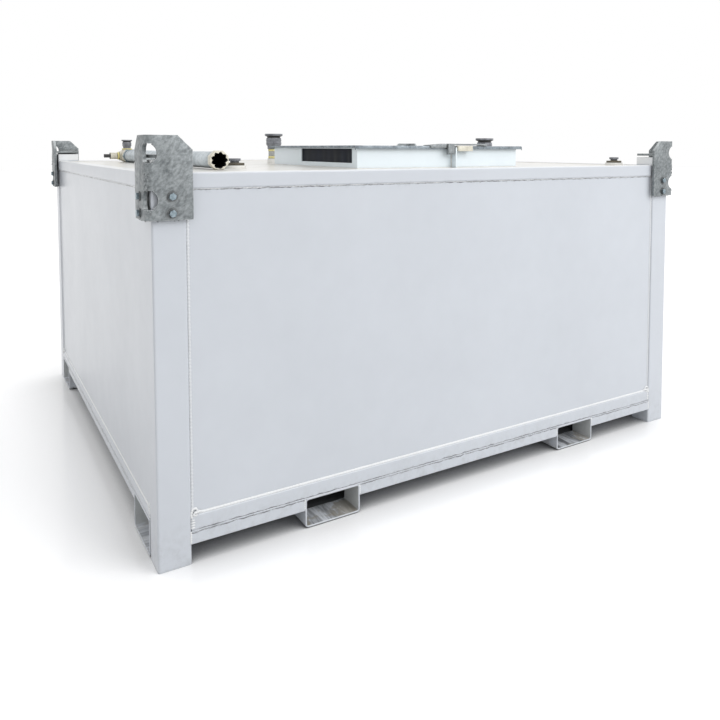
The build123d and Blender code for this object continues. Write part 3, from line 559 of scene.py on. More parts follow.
def nipple_zinc():
    return galvanised("nipple_zinc", (0.52, 0.52, 0.5), (0.26, 0.26, 0.25), streak=0.2, crystal=210.0)


def lock_steel():
    return galvanised("lock_finish", (0.38, 0.41, 0.42), (0.13, 0.14, 0.15), streak=0.4, wear=0.9)


def washer_zinc():
    return galvanised("washer_zinc", (0.2, 0.22, 0.23), (0.06, 0.07, 0.075), streak=0.3, wear=0.5)


def bolt_zinc():
    """Bright zinc plate with a blue cast, with painted shade and grime dark and dull in the corners."""
    def build(w):
        cloud = use(w, mottle(), Scale=90.0, Contrast=2.4)["Value"]
        base = w.blend(cloud, (0.09, 0.12, 0.14), (0.42, 0.51, 0.56))
        corners = use(w, crevice_dirt(), Reach=0.013, Sharpness=2.2, Amount=1.0)["Mask"]
        return {"Base Color": w.blend(corners, base, (0.035, 0.037, 0.04)),
                "Metallic": w.ramp(corners, 0.0, 1.0, 0.85, 0.3),
                "Roughness": w.ramp(cloud, 0.0, 1.0, 0.4, 0.24),
                "Height": w.maths("MULTIPLY", w.noise(w.place(), 500.0, 3.0), 0.00008)}
    return finish_of("bolt_zinc", build)


def cast_finish(name, light, dark, roughness, metallic=0.0, grain=350.0, wear=0.0, worn=(0.5, 0.5, 0.48)):
    """Cast or moulded pieces: a fine grain, a cloudy tone, rubbed edges and painted shade and grime in the
    corners.
    """
    def build(w):
        cloud = use(w, mottle(), Scale=40.0, Contrast=3.0)["Value"]
        rubbed = use(w, edge_wear(), Width=0.0015, Amount=wear)["Mask"]
        base = w.blend(rubbed, w.blend(cloud, dark, light), worn)
        # Painted shade and grime in the corners
        corners = use(w, crevice_dirt(), Reach=0.006, Amount=0.8)["Mask"]
        return {"Base Color": w.blend(corners, base, (0.02, 0.02, 0.02)), "Metallic": metallic,
                "Roughness": w.ramp(cloud, 0.0, 1.0, roughness + 0.1, roughness - 0.06),
                "Height": w.maths("MULTIPLY", w.noise(w.place(), grain, 4.0), 0.00015)}
    return finish_of(name, build)


def vent_grey():
    return cast_finish("vent_finish", (0.3, 0.31, 0.34), (0.13, 0.135, 0.15), 0.46, 0.2, wear=0.6)


def cap_grey():
    return cast_finish("cap_finish", (0.16, 0.14, 0.1), (0.07, 0.06, 0.042), 0.55, wear=0.4,
                       worn=(0.3, 0.28, 0.22))


def cream_fitting():
    return cast_finish("cream_finish", (0.84, 0.81, 0.7), (0.56, 0.53, 0.44), 0.36, wear=0.5,
                       worn=(0.9, 0.9, 0.88))


def valve_black():
    return cast_finish("valve_finish", (0.05, 0.05, 0.052), (0.02, 0.02, 0.02), 0.42)


def tape_yellow():
    return cast_finish("tape_yellow", (0.93, 0.87, 0.46), (0.78, 0.67, 0.24), 0.6, grain=900.0)


def primer_grey():
    return cast_finish("primer_grey", (0.36, 0.37, 0.38), (0.26, 0.27, 0.28), 0.6, grain=200.0)


def flap_rubber():
    """Black rubber, dusty on its folds."""
    def build(w):
        cloud = use(w, mottle(), Scale=18.0, Stretch=(1.0, 1.0, 0.2), Contrast=3.0)["Value"]
        return {"Base Color": w.blend(cloud, (0.004, 0.005, 0.008), (0.018, 0.022, 0.034)),
                "Roughness": w.ramp(cloud, 0.0, 1.0, 0.62, 0.8), "Specular IOR Level": 0.3,
                "Height": w.maths("MULTIPLY", w.noise(w.place(), 700.0, 3.0), 0.00012)}
    return finish_of("flap_finish", build)


# Making and placing meshes

def dress(material, *names):
    """Gives CAD nodes a better material."""
    for name in names:
        mesh = NODES[name].data
        mesh.materials.clear()
        mesh.materials.append(material)


def new_object(name, data):
    item = bpy.data.objects.new(name, data)
    bpy.context.scene.collection.objects.link(item)
    return item


def seat(item, body, slot, *replaced):
    """Fixes a finished piece to its body and hides the CAD nodes that it replaces."""
    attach(item, body)
    if replaced:
        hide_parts(*replaced)
    return item


def mesh_from(bm, name, *finishes):
    """A mesh of a closed shape, smooth on its curves and sharp on its edges."""
    bmesh.ops.recalc_face_normals(bm, faces=bm.faces)
    mesh = bpy.data.meshes.new(name)
    bm.to_mesh(mesh)
    bm.free()
    mesh.shade_smooth()
    mesh.set_sharp_from_angle(angle=math.radians(28))
    for finish in finishes:
        mesh.materials.append(finish)
    return mesh


def eased_copy(names, label, material, body, slot, ease):
    """Copies of CAD nodes as one piece, with their sharp edges eased as a grinder leaves them."""
    sharp_from = math.radians(35)
    bm = bmesh.new()
    for name in names:
        bm.from_mesh(NODES[name].data)
    bmesh.ops.remove_doubles(bm, verts=bm.verts, dist=0.00001)
    bmesh.ops.dissolve_limit(bm, angle_limit=math.radians(0.4), verts=bm.verts, edges=bm.edges)
    sharp = [edge for edge in bm.edges
             if len(edge.link_faces) == 2 and edge.calc_face_angle(0) > sharp_from]
    bmesh.ops.bevel(bm, geom=sharp, offset=ease, offset_type="OFFSET", segments=2, profile=0.6,
                    affect="EDGES", clamp_overlap=True)
    bmesh.ops.triangulate(bm, faces=[face for face in bm.faces if len(face.verts) > 4])
    return seat(new_object(label, mesh_from(bm, label, material)), body, slot, *names)


def level_ring(centre, radius, count):
    """A closed path round a level circle."""
    x, y, height = centre
    turns = [2 * math.pi * step / count for step in range(count)]
    points = [(x + radius * math.cos(turn), y + radius * math.sin(turn), height) for turn in turns]
    return [Vector(point) for point in points], True


def straight(*points):
    """An open path through points."""
    return [Vector(point) for point in points], False


def points_mesh(name, points, edges=()):
    """A mesh of loose points, or of points and the edges between them."""
    mesh = bpy.data.meshes.new(name)
    mesh.from_pydata([tuple(point) for point in points], edges, [])
    return mesh


def path_mesh(name, paths):
    """Edges along a list of (points, closed) paths, for a bead to follow."""
    verts = []
    edges = []
    for points, closed in paths:
        start = len(verts)
        verts.extend(points)
        edges.extend((start + i, start + i + 1) for i in range(len(points) - 1))
        if closed:
            edges.append((len(verts) - 1, start))
    return points_mesh(name, verts, edges)


# Geometry trees for what repeats or follows a path

def geometry_tree(name, sizes, fill):
    """A geometry tree with a mesh in, a mesh out and named inputs for its sizes, made the first time that
    it is asked for. It ends with its instances made real and its material set."""
    tree = bpy.data.node_groups.get(name)
    if tree is not None:
        return tree
    tree = bpy.data.node_groups.new(name, "GeometryNodeTree")
    tree.interface.new_socket(name="Geometry", in_out="INPUT", socket_type="NodeSocketGeometry")
    for label, (kind, value) in {**sizes, "Material": ("Material", None)}.items():
        socket = tree.interface.new_socket(name=label, in_out="INPUT", socket_type="NodeSocket" + kind)
        if value is not None:
            socket.default_value = value
    tree.interface.new_socket(name="Geometry", in_out="OUTPUT", socket_type="NodeSocketGeometry")
    w = Wiring(tree)
    given = tree.nodes.new("NodeGroupInput").outputs
    real = w.add("GeometryNodeRealizeInstances", {"Geometry": fill(w, given)})
    painted = w.add("GeometryNodeSetMaterial", {"Geometry": real.outputs[0], "Material": given["Material"]})
    w.join(painted.outputs[0], tree.nodes.new("NodeGroupOutput").inputs[0])
    return tree


def uneven(w, seed, scale, detail, amount):
    """A number that wanders round one from place to place."""
    place = w.add("GeometryNodeInputPosition").outputs[0]
    noise = w.add("ShaderNodeTexNoise", {"Vector": place, "W": seed, "Scale": scale, "Detail": detail},
                  noise_dimensions="4D").outputs[0]
    return w.maths("ADD", 1.0, w.swing(noise, amount))


def bead_tree():
    """A weld bead along each path: ripples one behind another, a wandering width and rounded ends."""
    def fill(w, given):
        curve = w.add("GeometryNodeMeshToCurve", {0: given["Geometry"]}).outputs[0]
        step = w.maths("DIVIDE", given["Ripple Pitch"], 4.0)
        curve = w.add("GeometryNodeResampleCurve", {"Curve": curve, "Length": step},
                      mode="LENGTH").outputs[0]
        along = w.add("GeometryNodeSplineParameter").outputs["Length"]
        whole = w.add("GeometryNodeSplineLength").outputs["Length"]
        past_start = w.maths("ADD", along, 0.00001)
        phase = w.maths("FRACT", w.maths("DIVIDE", past_start, given["Ripple Pitch"]))
        ripple = w.maths("SUBTRACT", 1.0, w.maths("MULTIPLY", phase, given["Ripple Depth"]))
        wander = uneven(w, given["Seed"], 28.0, 3.0, given["Wander"])
        left_over = w.maths("MINIMUM", along, w.maths("SUBTRACT", whole, along))
        to_end = w.maths("DIVIDE", left_over, given["Radius"])
        rounding = w.maths("SQRT", w.ramp(to_end, 0.0, 1.0, 0.2, 1.0))
        closed = w.add("GeometryNodeInputSplineCyclic").outputs[0]
        ends = w.add("GeometryNodeSwitch", {0: closed, 1: rounding, 2: 1.0},
                     input_type="FLOAT").outputs[0]
        width = w.maths("MULTIPLY", w.maths("MULTIPLY", ripple, wander), ends)
        profile = w.add("GeometryNodeCurvePrimitiveCircle", {
            "Resolution": given["Sides"], "Radius": given["Radius"]}, mode="RADIUS").outputs[0]
        bead = w.add("GeometryNodeCurveToMesh", {
            "Curve": curve, "Profile Curve": profile, "Scale": width, "Fill Caps": True}).outputs[0]
        return w.add("GeometryNodeSetShadeSmooth", {"Geometry": bead, "Shade Smooth": True}).outputs[0]
    return geometry_tree("Weld Bead", {
        "Radius": ("Float", 0.005), "Ripple Pitch": ("Float", 0.01), "Ripple Depth": ("Float", 0.16),
        "Wander": ("Float", 0.18), "Sides": ("Int", 8), "Seed": ("Float", 1.0)}, fill)


def spread_tree():
    """Copies of one piece on points, each turned to its point's aim, spun by chance about it and scaled."""
    def fill(w, given):
        def chance(low, high, seed):
            return w.add("FunctionNodeRandomValue", {2: low, 3: high, "Seed": seed},
                         data_type="FLOAT").outputs[1]
        aim = w.add("GeometryNodeInputNamedAttribute", {"Name": "aim"},
                    data_type="FLOAT_VECTOR").outputs[0]
        turned = w.add("FunctionNodeAlignRotationToVector", {"Vector": aim}, axis="Z").outputs[0]
        angle = chance(0.0, given["Spin"], given["Seed"])
        spin = w.add("FunctionNodeAxisAngleToRotation", {"Axis": UP, "Angle": angle}).outputs[0]
        turned = w.add("FunctionNodeRotateRotation", {"Rotation": turned, "Rotate By": spin},
                       rotation_space="LOCAL").outputs[0]
        size = chance(given["Smallest"], given["Largest"], w.maths("ADD", given["Seed"], 17.0))
        piece = w.add("GeometryNodeObjectInfo", {"Object": given["Piece"], "As Instance": True})
        return w.add("GeometryNodeInstanceOnPoints", {
            "Points": given["Geometry"], "Instance": piece.outputs["Geometry"], "Rotation": turned,
            "Scale": size}).outputs[0]
    return geometry_tree("Spread Pieces", {
        "Piece": ("Object", None), "Spin": ("Float", 0.0), "Smallest": ("Float", 1.0),
        "Largest": ("Float", 1.0), "Seed": ("Int", 1)}, fill)


def tape_tree():
    """A flat tape wound round an upright pipe in overlapping turns."""
    def fill(w, given):
        coil = w.add("GeometryNodeCurveSpiral", {
            "Resolution": 40, "Rotations": given["Turns"], "Start Radius": given["Radius"],
            "End Radius": given["Radius"], "Height": given["Rise"]}).outputs[0]
        swell = uneven(w, given["Seed"], 90.0, 2.0, 0.05)
        swollen = w.add("ShaderNodeCombineXYZ", {0: swell, 1: swell, 2: 1.0}).outputs[0]
        moved = w.vector_maths("MULTIPLY", w.add("GeometryNodeInputPosition").outputs[0], swollen)
        coil = w.add("GeometryNodeSetPosition", {"Geometry": coil, "Position": moved}).outputs[0]
        coil = w.add("GeometryNodeSetCurveNormal", {"Curve": coil}, mode="Z_UP").outputs[0]
        section = w.add("GeometryNodeCurvePrimitiveQuadrilateral", {
            "Width": given["Tape Thickness"], "Height": given["Tape Width"]},
            mode="RECTANGLE").outputs[0]
        tape = w.add("GeometryNodeCurveToMesh", {
            "Curve": coil, "Profile Curve": section, "Fill Caps": True}).outputs[0]
        return w.add("GeometryNodeInstanceOnPoints", {
            "Points": given["Geometry"], "Instance": tape}).outputs[0]
    return geometry_tree("Wound Tape", {
        "Radius": ("Float", 0.03), "Turns": ("Float", 4.0), "Rise": ("Float", 0.006),
        "Tape Width": ("Float", 0.01), "Tape Thickness": ("Float", 0.0006), "Seed": ("Float", 1.0)}, fill)


def grow(name, mesh, tree, **sizes):
    """Runs a geometry tree on a mesh and keeps the plain mesh that comes out."""
    item = new_object(name, mesh)
    modifier = item.modifiers.new(name, "NODES")
    modifier.node_group = tree
    wanted = {label.replace("_", " "): value for label, value in sizes.items()}
    for socket in tree.interface.items_tree:
        if socket.in_out == "INPUT" and socket.name in wanted:
            modifier[socket.identifier] = wanted.pop(socket.name)
    if wanted:
        raise RuntimeError(f"{tree.name} has no input named {sorted(wanted)}")
    view = bpy.context.evaluated_depsgraph_get()
    made = bpy.data.meshes.new_from_object(item.evaluated_get(view), depsgraph=view)
    item.modifiers.remove(modifier)
    item.data = made
    made.name = name
    if not made.polygons:
        raise RuntimeError(f"{name} came out empty")
    return item


def beads(name, paths, material, body, slot, radius, pitch, depth, wander, seed, sides=8):
    """One piece of weld beads along a list of (points, closed) paths."""
    piece = grow(name, path_mesh(name, paths), bead_tree(), Radius=radius, Ripple_Pitch=pitch,
                 Ripple_Depth=depth, Wander=wander, Sides=sides, Seed=seed, Material=material)
    return seat(piece, body, slot)


def spread(name, pattern, places, material, **sizes):
    """Copies of a pattern object at (point, aim) places, as one plain mesh. The pattern is removed."""
    mesh = points_mesh(name, [point for point, _ in places])
    aims = mesh.attributes.new("aim", "FLOAT_VECTOR", "POINT")
    for number, (_, aim) in enumerate(places):
        aims.data[number].vector = aim
    piece = grow(name, mesh, spread_tree(), Piece=pattern, Material=material, **sizes)
    bpy.data.objects.remove(pattern)
    return piece


# Turned and sawn shapes

def eased(outline, ease, steps=3):
    """An outline with each of its inner corners rounded off."""
    points = [outline[0]]
    for before, corner, after in zip(outline, outline[1:], outline[2:]):
        corner_at = Vector(corner)
        back = Vector(before) - corner_at
        on = Vector(after) - corner_at
        cut = min(ease, back.length * 0.45, on.length * 0.45)
        start = corner_at + back.normalized() * cut
        end = corner_at + on.normalized() * cut
        for step in range(steps + 1):
            share = step / steps
            pull = corner_at * 2 * share * (1 - share)
            points.append(tuple(start * (1 - share) ** 2 + pull + end * share ** 2))
    points.append(outline[-1])
    return points


def join_rings(bm, low, high):
    """Faces between two rings of corners, or between a ring and a single corner."""
    count = max(len(low), len(high))
    for step in range(count):
        after = (step + 1) % count
        if len(low) == 1:
            bm.faces.new((low[0], high[after], high[step]))
        elif len(high) == 1:
            bm.faces.new((low[step], low[after], high[0]))
        else:
            bm.faces.new((low[step], low[after], high[after], high[step]))


def lathe(bm, outline, place, segments, flutes=0, flute_depth=0.0, fluted_from=1.0, axis="Z"):
    """Turns an outline of (radius, height) about Z or X, with flutes in what is wider than fluted_from."""
    turn = {"X": Matrix.Rotation(math.radians(90), 4, "Y"), "Z": Matrix.Identity(4)}[axis]
    to_place = Matrix.Translation(place) @ turn
    rings = []
    for radius, height in outline:
        if radius < 1e-6:
            rings.append([bm.verts.new(to_place @ Vector((0, 0, height)))])
            continue
        ring = []
        for step in range(segments):
            angle = 2 * math.pi * step / segments
            reach = radius
            if flutes and radius >= fluted_from:
                reach -= flute_depth * (0.5 - 0.5 * math.cos(flutes * angle))
            point = Vector((reach * math.cos(angle), reach * math.sin(angle), height))
            ring.append(bm.verts.new(to_place @ point))
        rings.append(ring)
    pairs = list(zip(rings, rings[1:]))
    if len(rings[0]) > 1 and len(rings[-1]) > 1:
        pairs.append((rings[-1], rings[0]))
    for low, high in pairs:
        join_rings(bm, low, high)


def hexagon(bm, flats, low, high, samples=36):
    """A hexagon head along Z whose top and bottom corners are turned off by a cone."""
    inner = flats / 2 * 0.95
    slope = math.tan(math.radians(30))
    rows = [[], [], [], []]
    for step in range(samples):
        angle = 2 * math.pi * step / samples
        off_flat = (angle + math.pi / 6) % (math.pi / 3) - math.pi / 6
        reach = flats / 2 / math.cos(off_flat)
        drop = (reach - inner) * slope
        corners = ((inner, low), (reach, low + drop), (reach, high - drop), (inner, high))
        for row, (radius, height) in zip(rows, corners):
            row.append(bm.verts.new((radius * math.cos(angle), radius * math.sin(angle), height)))
    for below, above in zip(rows, rows[1:]):
        join_rings(bm, below, above)
    bm.faces.new(list(reversed(rows[0])))
    bm.faces.new(rows[-1])


# Places on the tank

def wall_point(wall, along, depth, height):
    """A point on a wall: along it from its middle, in from its outer faces, up from the ground."""
    reach = HALF_Y if wall in X_WALLS else HALF_X
    return WALL_RUN[wall] * along + WALL_OUT[wall] * (reach - depth) + Vector((0, 0, height))


def wall_path(wall, *places):
    """An open path on a wall through (along, depth, height) places."""
    return [wall_point(wall, *place) for place in places], False


def wall_end(wall):
    """How far the posts' inner faces stand along a wall, from its middle."""
    return (HALF_X if wall in X_WALLS else HALF_Y) - POST_SIDE


def middle_of(node):
    low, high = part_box(node)
    return (low + high) / 2


def foot_of(node):
    """The middle of a node's underside, half its width and its height."""
    low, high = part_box(node)
    foot = Vector(((low.x + high.x) / 2, (low.y + high.y) / 2, low.z))
    return foot, (high.x - low.x) / 2, high.z - low.z


def corner_signs(corner):
    """Minus one for left and one for right, and minus one for front and one for back."""
    return (-1 if corner.endswith("left") else 1), (-1 if corner.startswith("front") else 1)


def outer_corner(corner):
    """The outer, lower corner of a lifting bracket, and the length of its legs."""
    side_x, side_y = corner_signs(corner)
    low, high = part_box("lifting_bracket_" + corner)
    outer = Vector((high.x if side_x > 0 else low.x, high.y if side_y > 0 else low.y, low.z))
    return outer, high.x - low.x


def second_finish(mesh, low, high):
    """Gives the faces whose middles lie between two heights the second of a mesh's finishes."""
    for face in mesh.polygons:
        face.material_index = 1 if low < face.center.z < high else 0


# What a user may change

class TankPaintSettings(bpy.types.PropertyGroup):
    body: FloatVectorProperty(name="Body Colour", description="Enamel of the bund, the posts and the rails",
                              subtype="COLOR", min=0, max=1, default=(0.635, 0.668, 0.722))
    # The bead tone is brighter than the body as painted light: a highlight on the beads, top light on faces
    # that look up, light on the posts' heads
    bead: FloatVectorProperty(name="Bead Colour", description="Enamel on the weld beads",
                              subtype="COLOR", min=0, max=1, default=(0.86, 0.875, 0.89))
    deck: FloatVectorProperty(name="Deck Colour", description="Enamel of the deck",
                              subtype="COLOR", min=0, max=1, default=(0.84, 0.83, 0.795))
    # The bay tone is paler than the body as painted light, for the brighter light off the deck on the bay's
    # walls
    bay: FloatVectorProperty(name="Bay Colour", description="Enamel of the equipment bay's walls",
                             subtype="COLOR", min=0, max=1, default=(0.825, 0.9, 0.945))
    cloud: FloatProperty(name="Cloud",
                         description="Darkest tone of the enamel's clouds, as a share of its colour",
                         subtype="FACTOR", min=0, max=1, default=0.93)
    roughness: FloatProperty(name="Roughness", description="Roughness of clean enamel",
                             subtype="FACTOR", min=0, max=1, default=0.3)
    # Amount of painted shade and grime in corners and along beads, from ambient occlusion
    dirt: FloatProperty(name="Dirt", description="Dirt in corners and along beads",
                        subtype="FACTOR", min=0, max=1, default=0.6)
    # How far that painted shade and grime reaches out of a corner
    dirt_reach: FloatProperty(name="Dirt Reach", description="How far dirt spreads out of a corner",
                              unit="LENGTH", default=0.009)
    # Strength of the dark seam lines: painted shade under the top rails and grime in the sill joints
    seam_grime: FloatProperty(name="Seam Grime", description="Dark lines along the level seams",
                              subtype="FACTOR", min=0, max=1, default=0.9)
    pocket_wall: FloatProperty(name="Pocket Wall", description="Wall of the fork pockets",
                               unit="LENGTH", default=0.006)


class TankMetalSettings(bpy.types.PropertyGroup):
    zinc_light: FloatVectorProperty(name="Light Zinc",
                                    description="Light crystals of the galvanised brackets",
                                    subtype="COLOR", min=0, max=1, default=(0.34, 0.365, 0.375))
    zinc_dark: FloatVectorProperty(name="Dark Zinc", description="Dark crystals of the galvanised brackets",
                                   subtype="COLOR", min=0, max=1, default=(0.12, 0.135, 0.142))
    crystal_share: FloatProperty(name="Crystals", description="Share of the crystals in the zinc's tone",
                                 subtype="FACTOR", min=0, max=1, default=0.35)
    metal: FloatProperty(name="Metal", description="How metallic weathered zinc is",
                         subtype="FACTOR", min=0, max=1, default=0.45)
    edge: FloatProperty(name="Eased Edge", description="Rounding of cut plate edges",
                        unit="LENGTH", default=0.0012)
    drips: IntProperty(name="Drips", description="Zinc drips under each leg of a bracket", min=0, default=7)
    drip_radius: FloatProperty(name="Drip Radius", description="Radius of a zinc drip",
                               unit="LENGTH", default=0.0022)
    crust: IntProperty(name="Crust", description="Zinc lumps on the bend of a bracket, between its holes",
                       min=0, default=16)
    seed: IntProperty(name="Seed", description="Seed of what is left to chance", default=7)


class TankWeldSettings(bpy.types.PropertyGroup):
    radius: FloatProperty(name="Bead Radius", description="Radius of the beads round the side panels",
                          unit="LENGTH", default=0.008)
    pitch: FloatProperty(name="Ripple Pitch", description="Ripple to ripple along the long beads",
                         unit="LENGTH", default=0.011)
    small_radius: FloatProperty(name="Small Bead Radius", description="Radius of the short beads",
                                unit="LENGTH", default=0.005)
    small_pitch: FloatProperty(name="Small Ripple Pitch",
                               description="Ripple to ripple along the short beads",
                               unit="LENGTH", default=0.007)
    thin_radius: FloatProperty(name="Thin Bead Radius", description="Radius of the sealing beads",
                               unit="LENGTH", default=0.003)
    depth: FloatProperty(name="Ripple Depth", description="Depth of a ripple as a share of the bead",
                         subtype="FACTOR", min=0, max=1, default=0.34)
    wander: FloatProperty(name="Wander", description="How much a bead's width wanders",
                          subtype="FACTOR", min=0, max=1, default=0.35)
    lean: FloatProperty(name="Lean",
                        description="How far a bead's middle lies off its corner, over the panel",
                        unit="LENGTH", default=0.004)
    sink: FloatProperty(name="Sink", description="How far a bead's middle lies behind the panel's face",
                        unit="LENGTH", default=0.0035)


class TankBoltSettings(bpy.types.PropertyGroup):
    inset: FloatProperty(name="Inset", description="Bolts from the outer faces of the posts",
                         unit="LENGTH", default=0.055)
    head_flats: FloatProperty(name="Head", description="Head across its flats", unit="LENGTH", default=0.019)
    head_height: FloatProperty(name="Head Height", description="Height of the head",
                               unit="LENGTH", default=0.008)
    washer_radius: FloatProperty(name="Washer Radius", description="Radius of the washer",
                                 unit="LENGTH", default=0.014)
    washer_thickness: FloatProperty(name="Washer Thickness", description="Thickness of the washer",
                                    unit="LENGTH", default=0.003)
    shank_radius: FloatProperty(name="Shank Radius", description="Radius of the shank",
                                unit="LENGTH", default=0.006)
    grip: FloatProperty(name="Grip", description="From the bracket's outer face to the nut",
                        unit="LENGTH", default=0.025)
    nut_height: FloatProperty(name="Nut Height", description="Height of the nut",
                              unit="LENGTH", default=0.01)
    seed: IntProperty(name="Seed", description="Seed of the turn of each head", default=4)


class TankFittingSettings(bpy.types.PropertyGroup):
    socket_radius: FloatProperty(name="Cap Socket Radius", description="Radius of the sockets under the caps",
                                 unit="LENGTH", default=0.042)
    vent_socket_radius: FloatProperty(name="Vent Socket Radius", description="Radius of the vents' sockets",
                                      unit="LENGTH", default=0.033)
    nipple_radius: FloatProperty(name="Nipple Radius", description="Radius of the pipe under each vent",
                                 unit="LENGTH", default=0.027)
    tape_width: FloatProperty(name="Tape Width", description="Width of the thread sealing tape",
                              unit="LENGTH", default=0.009)
    teeth: IntProperty(name="Mouth Teeth", description="Torn teeth in the pipe's mouth", min=3, default=9)
    seed: IntProperty(name="Seed", description="Seed of the torn teeth", default=5)
    flap_folds: IntProperty(name="Flap Folds", description="Folds across the hose flap", min=1, default=9)
    fold_depth: FloatProperty(name="Fold Depth", description="Depth of the folds of the hose flap",
                              unit="LENGTH", default=0.0018)


class TankStageSettings(bpy.types.PropertyGroup):
    camera_place: FloatVectorProperty(name="Camera", description="Place of the camera",
                                      subtype="TRANSLATION", unit="LENGTH", default=(-1.624, -3.334, 1.277))
    camera_turn: FloatProperty(name="Turn", description="Turn to the right from looking along Y",
                               subtype="ANGLE", default=math.radians(33.59))
    camera_dip: FloatProperty(name="Dip", description="How far the camera looks down",
                              subtype="ANGLE", default=math.radians(3.34))
    camera_roll: FloatProperty(name="Roll", description="Roll of the camera", subtype="ANGLE",
                               default=math.radians(0.18))
    lens: FloatProperty(name="Lens", description="Focal length on a 36 mm sensor, in millimetres",
                        default=35.92)
    shift_x: FloatProperty(name="Shift X", description="Sideways shift of the lens", default=-0.0987)
    shift_y: FloatProperty(name="Shift Y", description="Upward shift of the lens", default=-0.2351)
    sky: FloatProperty(name="Sky", description="Strength of the even light from all round", default=0.85)
    key: FloatProperty(name="Key Lamp", description="Power of the large lamp in front",
                       unit="POWER", default=200.0)
    floor: FloatProperty(name="Floor Gloss", description="Gloss of the floor", subtype="FACTOR",
                         min=0, max=1, default=0.5)


SETTINGS = {
    "tank_paint": TankPaintSettings, "tank_metal": TankMetalSettings, "tank_weld": TankWeldSettings,
    "tank_bolt": TankBoltSettings, "tank_fitting": TankFittingSettings, "tank_stage": TankStageSettings,
}


# One operator for each piece or group of like pieces

class TANK_OT_steelwork(bpy.types.Operator):
    """Paint the posts, rails, panels, edge bars, deck and inner tank"""
    bl_idname = "tank.steelwork"
    bl_label = "Paint Steelwork"

    def execute(self, context):
        dress(tank_enamel(), "bund_floor")
        dress(post_enamel(), *["corner_post_" + corner for corner in CORNERS])
        for wall in WALLS:
            bar = "edge_bars_" if wall in X_WALLS else "edge_bar_"
            dress(wall_enamel(), "top_rail_" + wall, "panel_" + wall)
            dress(sill_enamel(wall), "bottom_rail_" + wall, bar + wall)
        dress(deck_enamel(), "deck", "deck_sockets")
        dress(primer_grey(), "inner_tank")
        return {"FINISHED"}


class TANK_OT_pockets(bpy.types.Operator):
    """Finish the fork pockets and weld a rounded lip round each of their mouths"""
    bl_idname = "tank.pockets"
    bl_label = "Fork Pockets"

    def execute(self, context):
        weld = context.scene.tank_weld
        thick = context.scene.tank_paint.pocket_wall
        mouths = []
        for node, run, walls in (("fork_pocket_left", 1, X_WALLS), ("fork_pocket_right", 1, X_WALLS),
                                 ("cross_pocket_front", 0, Y_WALLS), ("cross_pocket_back", 0, Y_WALLS)):
            dress(pocket_enamel(node, run), node)
            mouths += [(self.mouth(node, wall, thick), True) for wall in walls]
        beads("pocket_lips", mouths, tank_enamel(), "tank", "tank_white", thick * 0.53,
              weld.small_pitch, depth=0.06, wander=0.3, seed=3.0)
        return {"FINISHED"}

    def mouth(self, node, wall, thick):
        """The middle line of a pocket's wall at one mouth, with its corners rounded."""
        low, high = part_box(node)
        alongs = sorted((low.dot(WALL_RUN[wall]), high.dot(WALL_RUN[wall])))
        rounding = 0.009
        sunk = 0.0012
        inset = thick / 2
        left, right = alongs[0] + inset + rounding, alongs[1] - inset - rounding
        bottom, top = low.z + inset + rounding, high.z - inset - rounding
        points = []
        for along, height, start in ((right, top, 0), (left, top, 90), (left, bottom, 180),
                                     (right, bottom, 270)):
            for turn in range(0, 91, 15):
                angle = math.radians(start + turn)
                points.append(wall_point(wall, along + rounding * math.cos(angle), sunk,
                                         height + rounding * math.sin(angle)))
        return points


